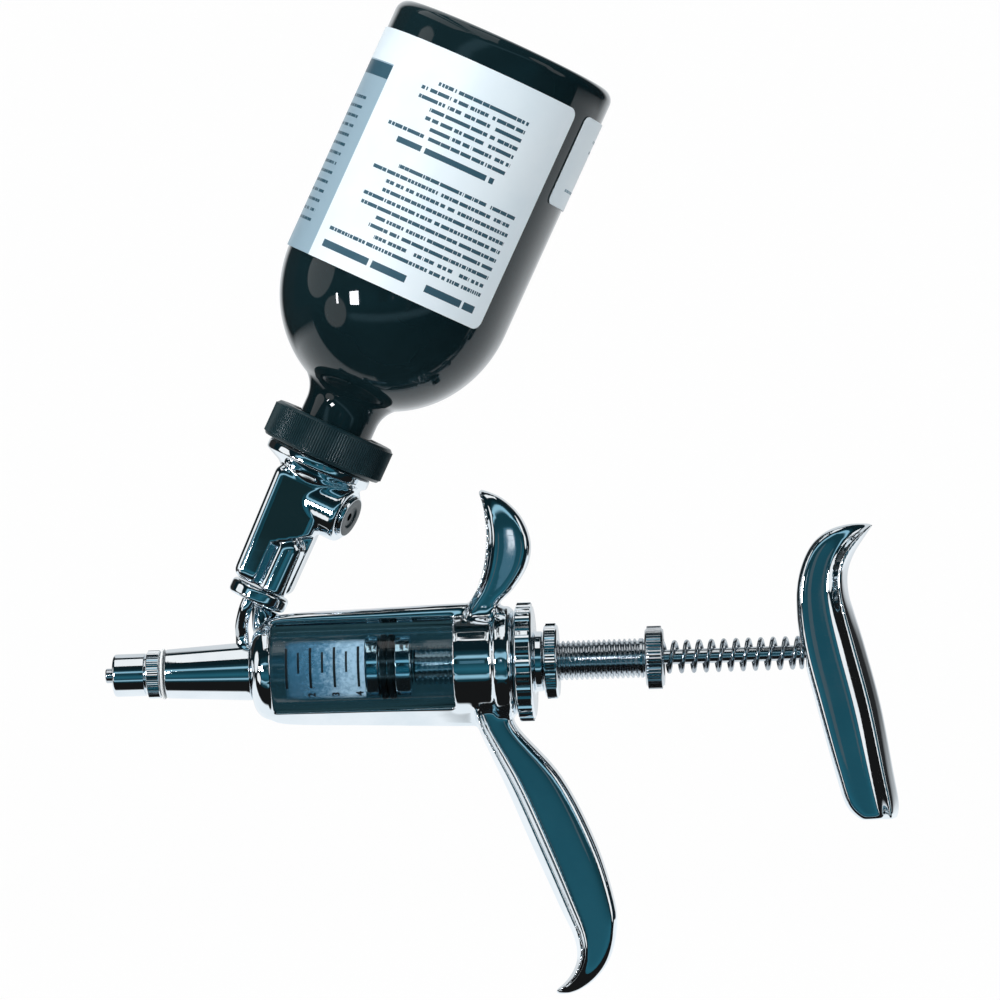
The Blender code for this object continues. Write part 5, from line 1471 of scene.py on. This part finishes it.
# What a reflection meets, by its angle above the line towards the camera, in degrees
AROUND = [
    (-180, WHITE), (-94, WHITE), (-84, DARK), (-42, DARK), (-33, DEEP), (-29, PALE), (-26, PALE), (-23, DEEP),
    (-10, TEAL), (4, DEEP), (12, DEEP), (15, PALE), (20, PALE), (23, DEEP), (34, DARK), (52, DARK),
    (112, DARK), (118, WHITE), (180, WHITE),
]


# Small lamps at the sides, each by its direction and the cosine of its half width
SPOTS = [
    ((-0.84, -0.48, -0.25), 0.98), ((-0.93, -0.2, 0.25), 0.96), ((0.9, -0.35, 0.1), 0.985),
    ((0.81, -0.44, 0.38), 0.982),
]


# Overhead cards, each by its stations and the angles at which the piece below shows it
CARDS = [
    (-175.0, -47.3, 53.0, 98.0), (-47.3, -36.0, 54.5, 58.0), (-27.2, -16.2, 54.0, 97.0),
    (-16.2, -6.9, 56.0, 64.0), (-6.9, 1.2, 54.5, 58.5), (1.2, 6.6, 56.0, 78.0), (6.6, 44.0, 50.0, 96.0),
    (44.0, 96.0, 54.0, 90.0),
]
CARD_HEIGHT = 300.0

# Cards in front, each by the stations and heights of the piece that shows it, and its tone
FRONT_CARDS = [
    (-66.0, -20.0, 12.0, 66.0, (0.008, 0.024, 0.028)),
    (-8.0, 14.0, 12.0, 42.0, (0.06, 0.16, 0.22)),
    (3.0, 8.5, 23.0, 37.0, (0.85, 0.93, 1.0)),
    (68.0, 96.0, -45.0, 34.0, (0.06, 0.1, 0.12)),
    (-425.0, -395.0, 5.0, 75.0, (40.0, 40.0, 42.0)),
    (-250.0, -180.0, 5.0, 75.0, (40.0, 40.0, 42.0)),
]
CARD_FRONT = -300.0
CARD_DRIFT = 0.07


def card_material(name, colour):
    """A card that only reflections see."""
    material = bpy.data.materials.new(name)
    material.use_nodes = True
    tree = material.node_tree
    tree.nodes.clear()
    path = tree.nodes.new("ShaderNodeLightPath").outputs
    clear = node(tree, "ShaderNodeBsdfTransparent").outputs[0]
    shown = either(tree, bounced(tree, path), clear, glow(tree, colour))
    out = tree.nodes.new("ShaderNodeOutputMaterial")
    tree.links.new(shown, out.inputs["Surface"])
    return material


def set_cards():
    """White cards over the object and toned ones in front of it."""
    points, faces = [], []
    for start, end, low, high in CARDS:
        first = len(points)
        for angle in (low, high):
            tilt = math.radians(angle)
            drift = -CARD_DRIFT * CARD_HEIGHT / math.sin(tilt)
            y = -CARD_HEIGHT / math.tan(tilt)
            points += [(start + drift, y, CARD_HEIGHT), (end + drift, y, CARD_HEIGHT)]
        faces.append((first, first + 1, first + 3, first + 2))
    new_piece("overhead_cards", points, faces, card_material("white card", WHITE))
    drift = CARD_DRIFT * CARD_FRONT
    for number, (start, end, low, high, tone) in enumerate(FRONT_CARDS):
        outline = ((start, low), (end, low), (end, high), (start, high))
        corners = [(x + drift, CARD_FRONT + number, z) for x, z in outline]
        toned = card_material("toned card", tone)
        new_piece(f"front_card_{number}", corners, [(0, 1, 2, 3)], toned)


def set_world():
    """A studio that is white to the camera, dark in front of the object and white over and behind it."""
    world = bpy.data.worlds.new("studio")
    bpy.context.scene.world = world
    world.use_nodes = True
    tree = world.node_tree
    tree.nodes.clear()
    way = tree.nodes.new("ShaderNodeTexCoord").outputs["Generated"]
    across, depth, height = node(tree, "ShaderNodeSeparateXYZ", {0: way}).outputs
    angle = sums(tree, "ARCTAN2", height, times(tree, depth, -1.0))
    share = sums(tree, "ADD", times(tree, angle, 0.5 / math.pi), 0.5)
    around = ramp(tree, share, [((degrees + 180) / 360, colour) for degrees, colour in AROUND])
    sideways = faded(tree, sums(tree, "ABSOLUTE", across), 0.62, 0.72)
    flank = ramp(tree, faded(tree, depth, 0.78, 0.9), [(0.0, DARK), (1.0, WHITE)])
    studio = blended(tree, sideways, around, flank)
    for aim, least in SPOTS:
        ways = {0: way, 1: Vector(aim).normalized()}
        facing = node(tree, "ShaderNodeVectorMath", ways, operation="DOT_PRODUCT").outputs["Value"]
        spot = faded(tree, facing, least - 0.004, least)
        studio = blended(tree, spot, studio, (*WHITE, 1))
    path = tree.nodes.new("ShaderNodeLightPath").outputs
    glossy = node(tree, "ShaderNodeBackground", {"Color": studio, "Strength": 1.0}).outputs[0]
    plain = node(tree, "ShaderNodeBackground", {"Color": (*WHITE, 1), "Strength": 1.0}).outputs[0]
    soft = node(tree, "ShaderNodeBackground", {"Color": (0.95, 0.98, 1, 1), "Strength": 0.5}).outputs[0]
    first = either(tree, bounced(tree, path), soft, glossy)
    second = either(tree, path["Is Camera Ray"], first, plain)
    out = tree.nodes.new("ShaderNodeOutputWorld")
    tree.links.new(second, out.inputs["Surface"])


def set_lamp(name, place, target, width, depth, watts):
    """A soft rectangular lamp that reflections don't show."""
    data = bpy.data.lights.new(name, "AREA")
    data.shape = "RECTANGLE"
    data.size = width
    data.size_y = depth
    data.energy = watts
    lamp = added(name, data)
    lamp.location = place
    lamp.rotation_euler = (Vector(target) - Vector(place)).to_track_quat("-Z", "Y").to_euler()
    lamp.visible_glossy = False
    lamp.visible_transmission = False
    lamp.visible_camera = False


bpy.context.scene.view_settings.view_transform = "Standard"
set_camera()
set_floor()
set_cards()
set_world()
set_lamp("overhead softbox", (0.0, -0.25, 1.1), (0.0, 0.0, 0.0), 0.9, 0.7, 9.0)
set_lamp("front fill", (-0.5, -1.1, 0.35), (0.0, 0.0, 0.05), 0.6, 0.6, 8.2)

# Finishes of the CAD nodes that stay

FINISHES = {
    "front_barrel_seal": RUBBER,
    "rear_barrel_seal": RUBBER,
    "draw_off_spike": STEEL,
    "air_needle": STEEL,
    "grip_sleeve": RUBBER,
    "stopper": STOPPER_RUBBER,
    "delivery_valve": STEEL,
    "inlet_valve": STEEL,
    "vent_disc": RUBBER,
    "spring_washer": STEEL,
}
for name, finish in FINISHES.items():
    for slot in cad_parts[name].material_slots:
        slot.material = finish
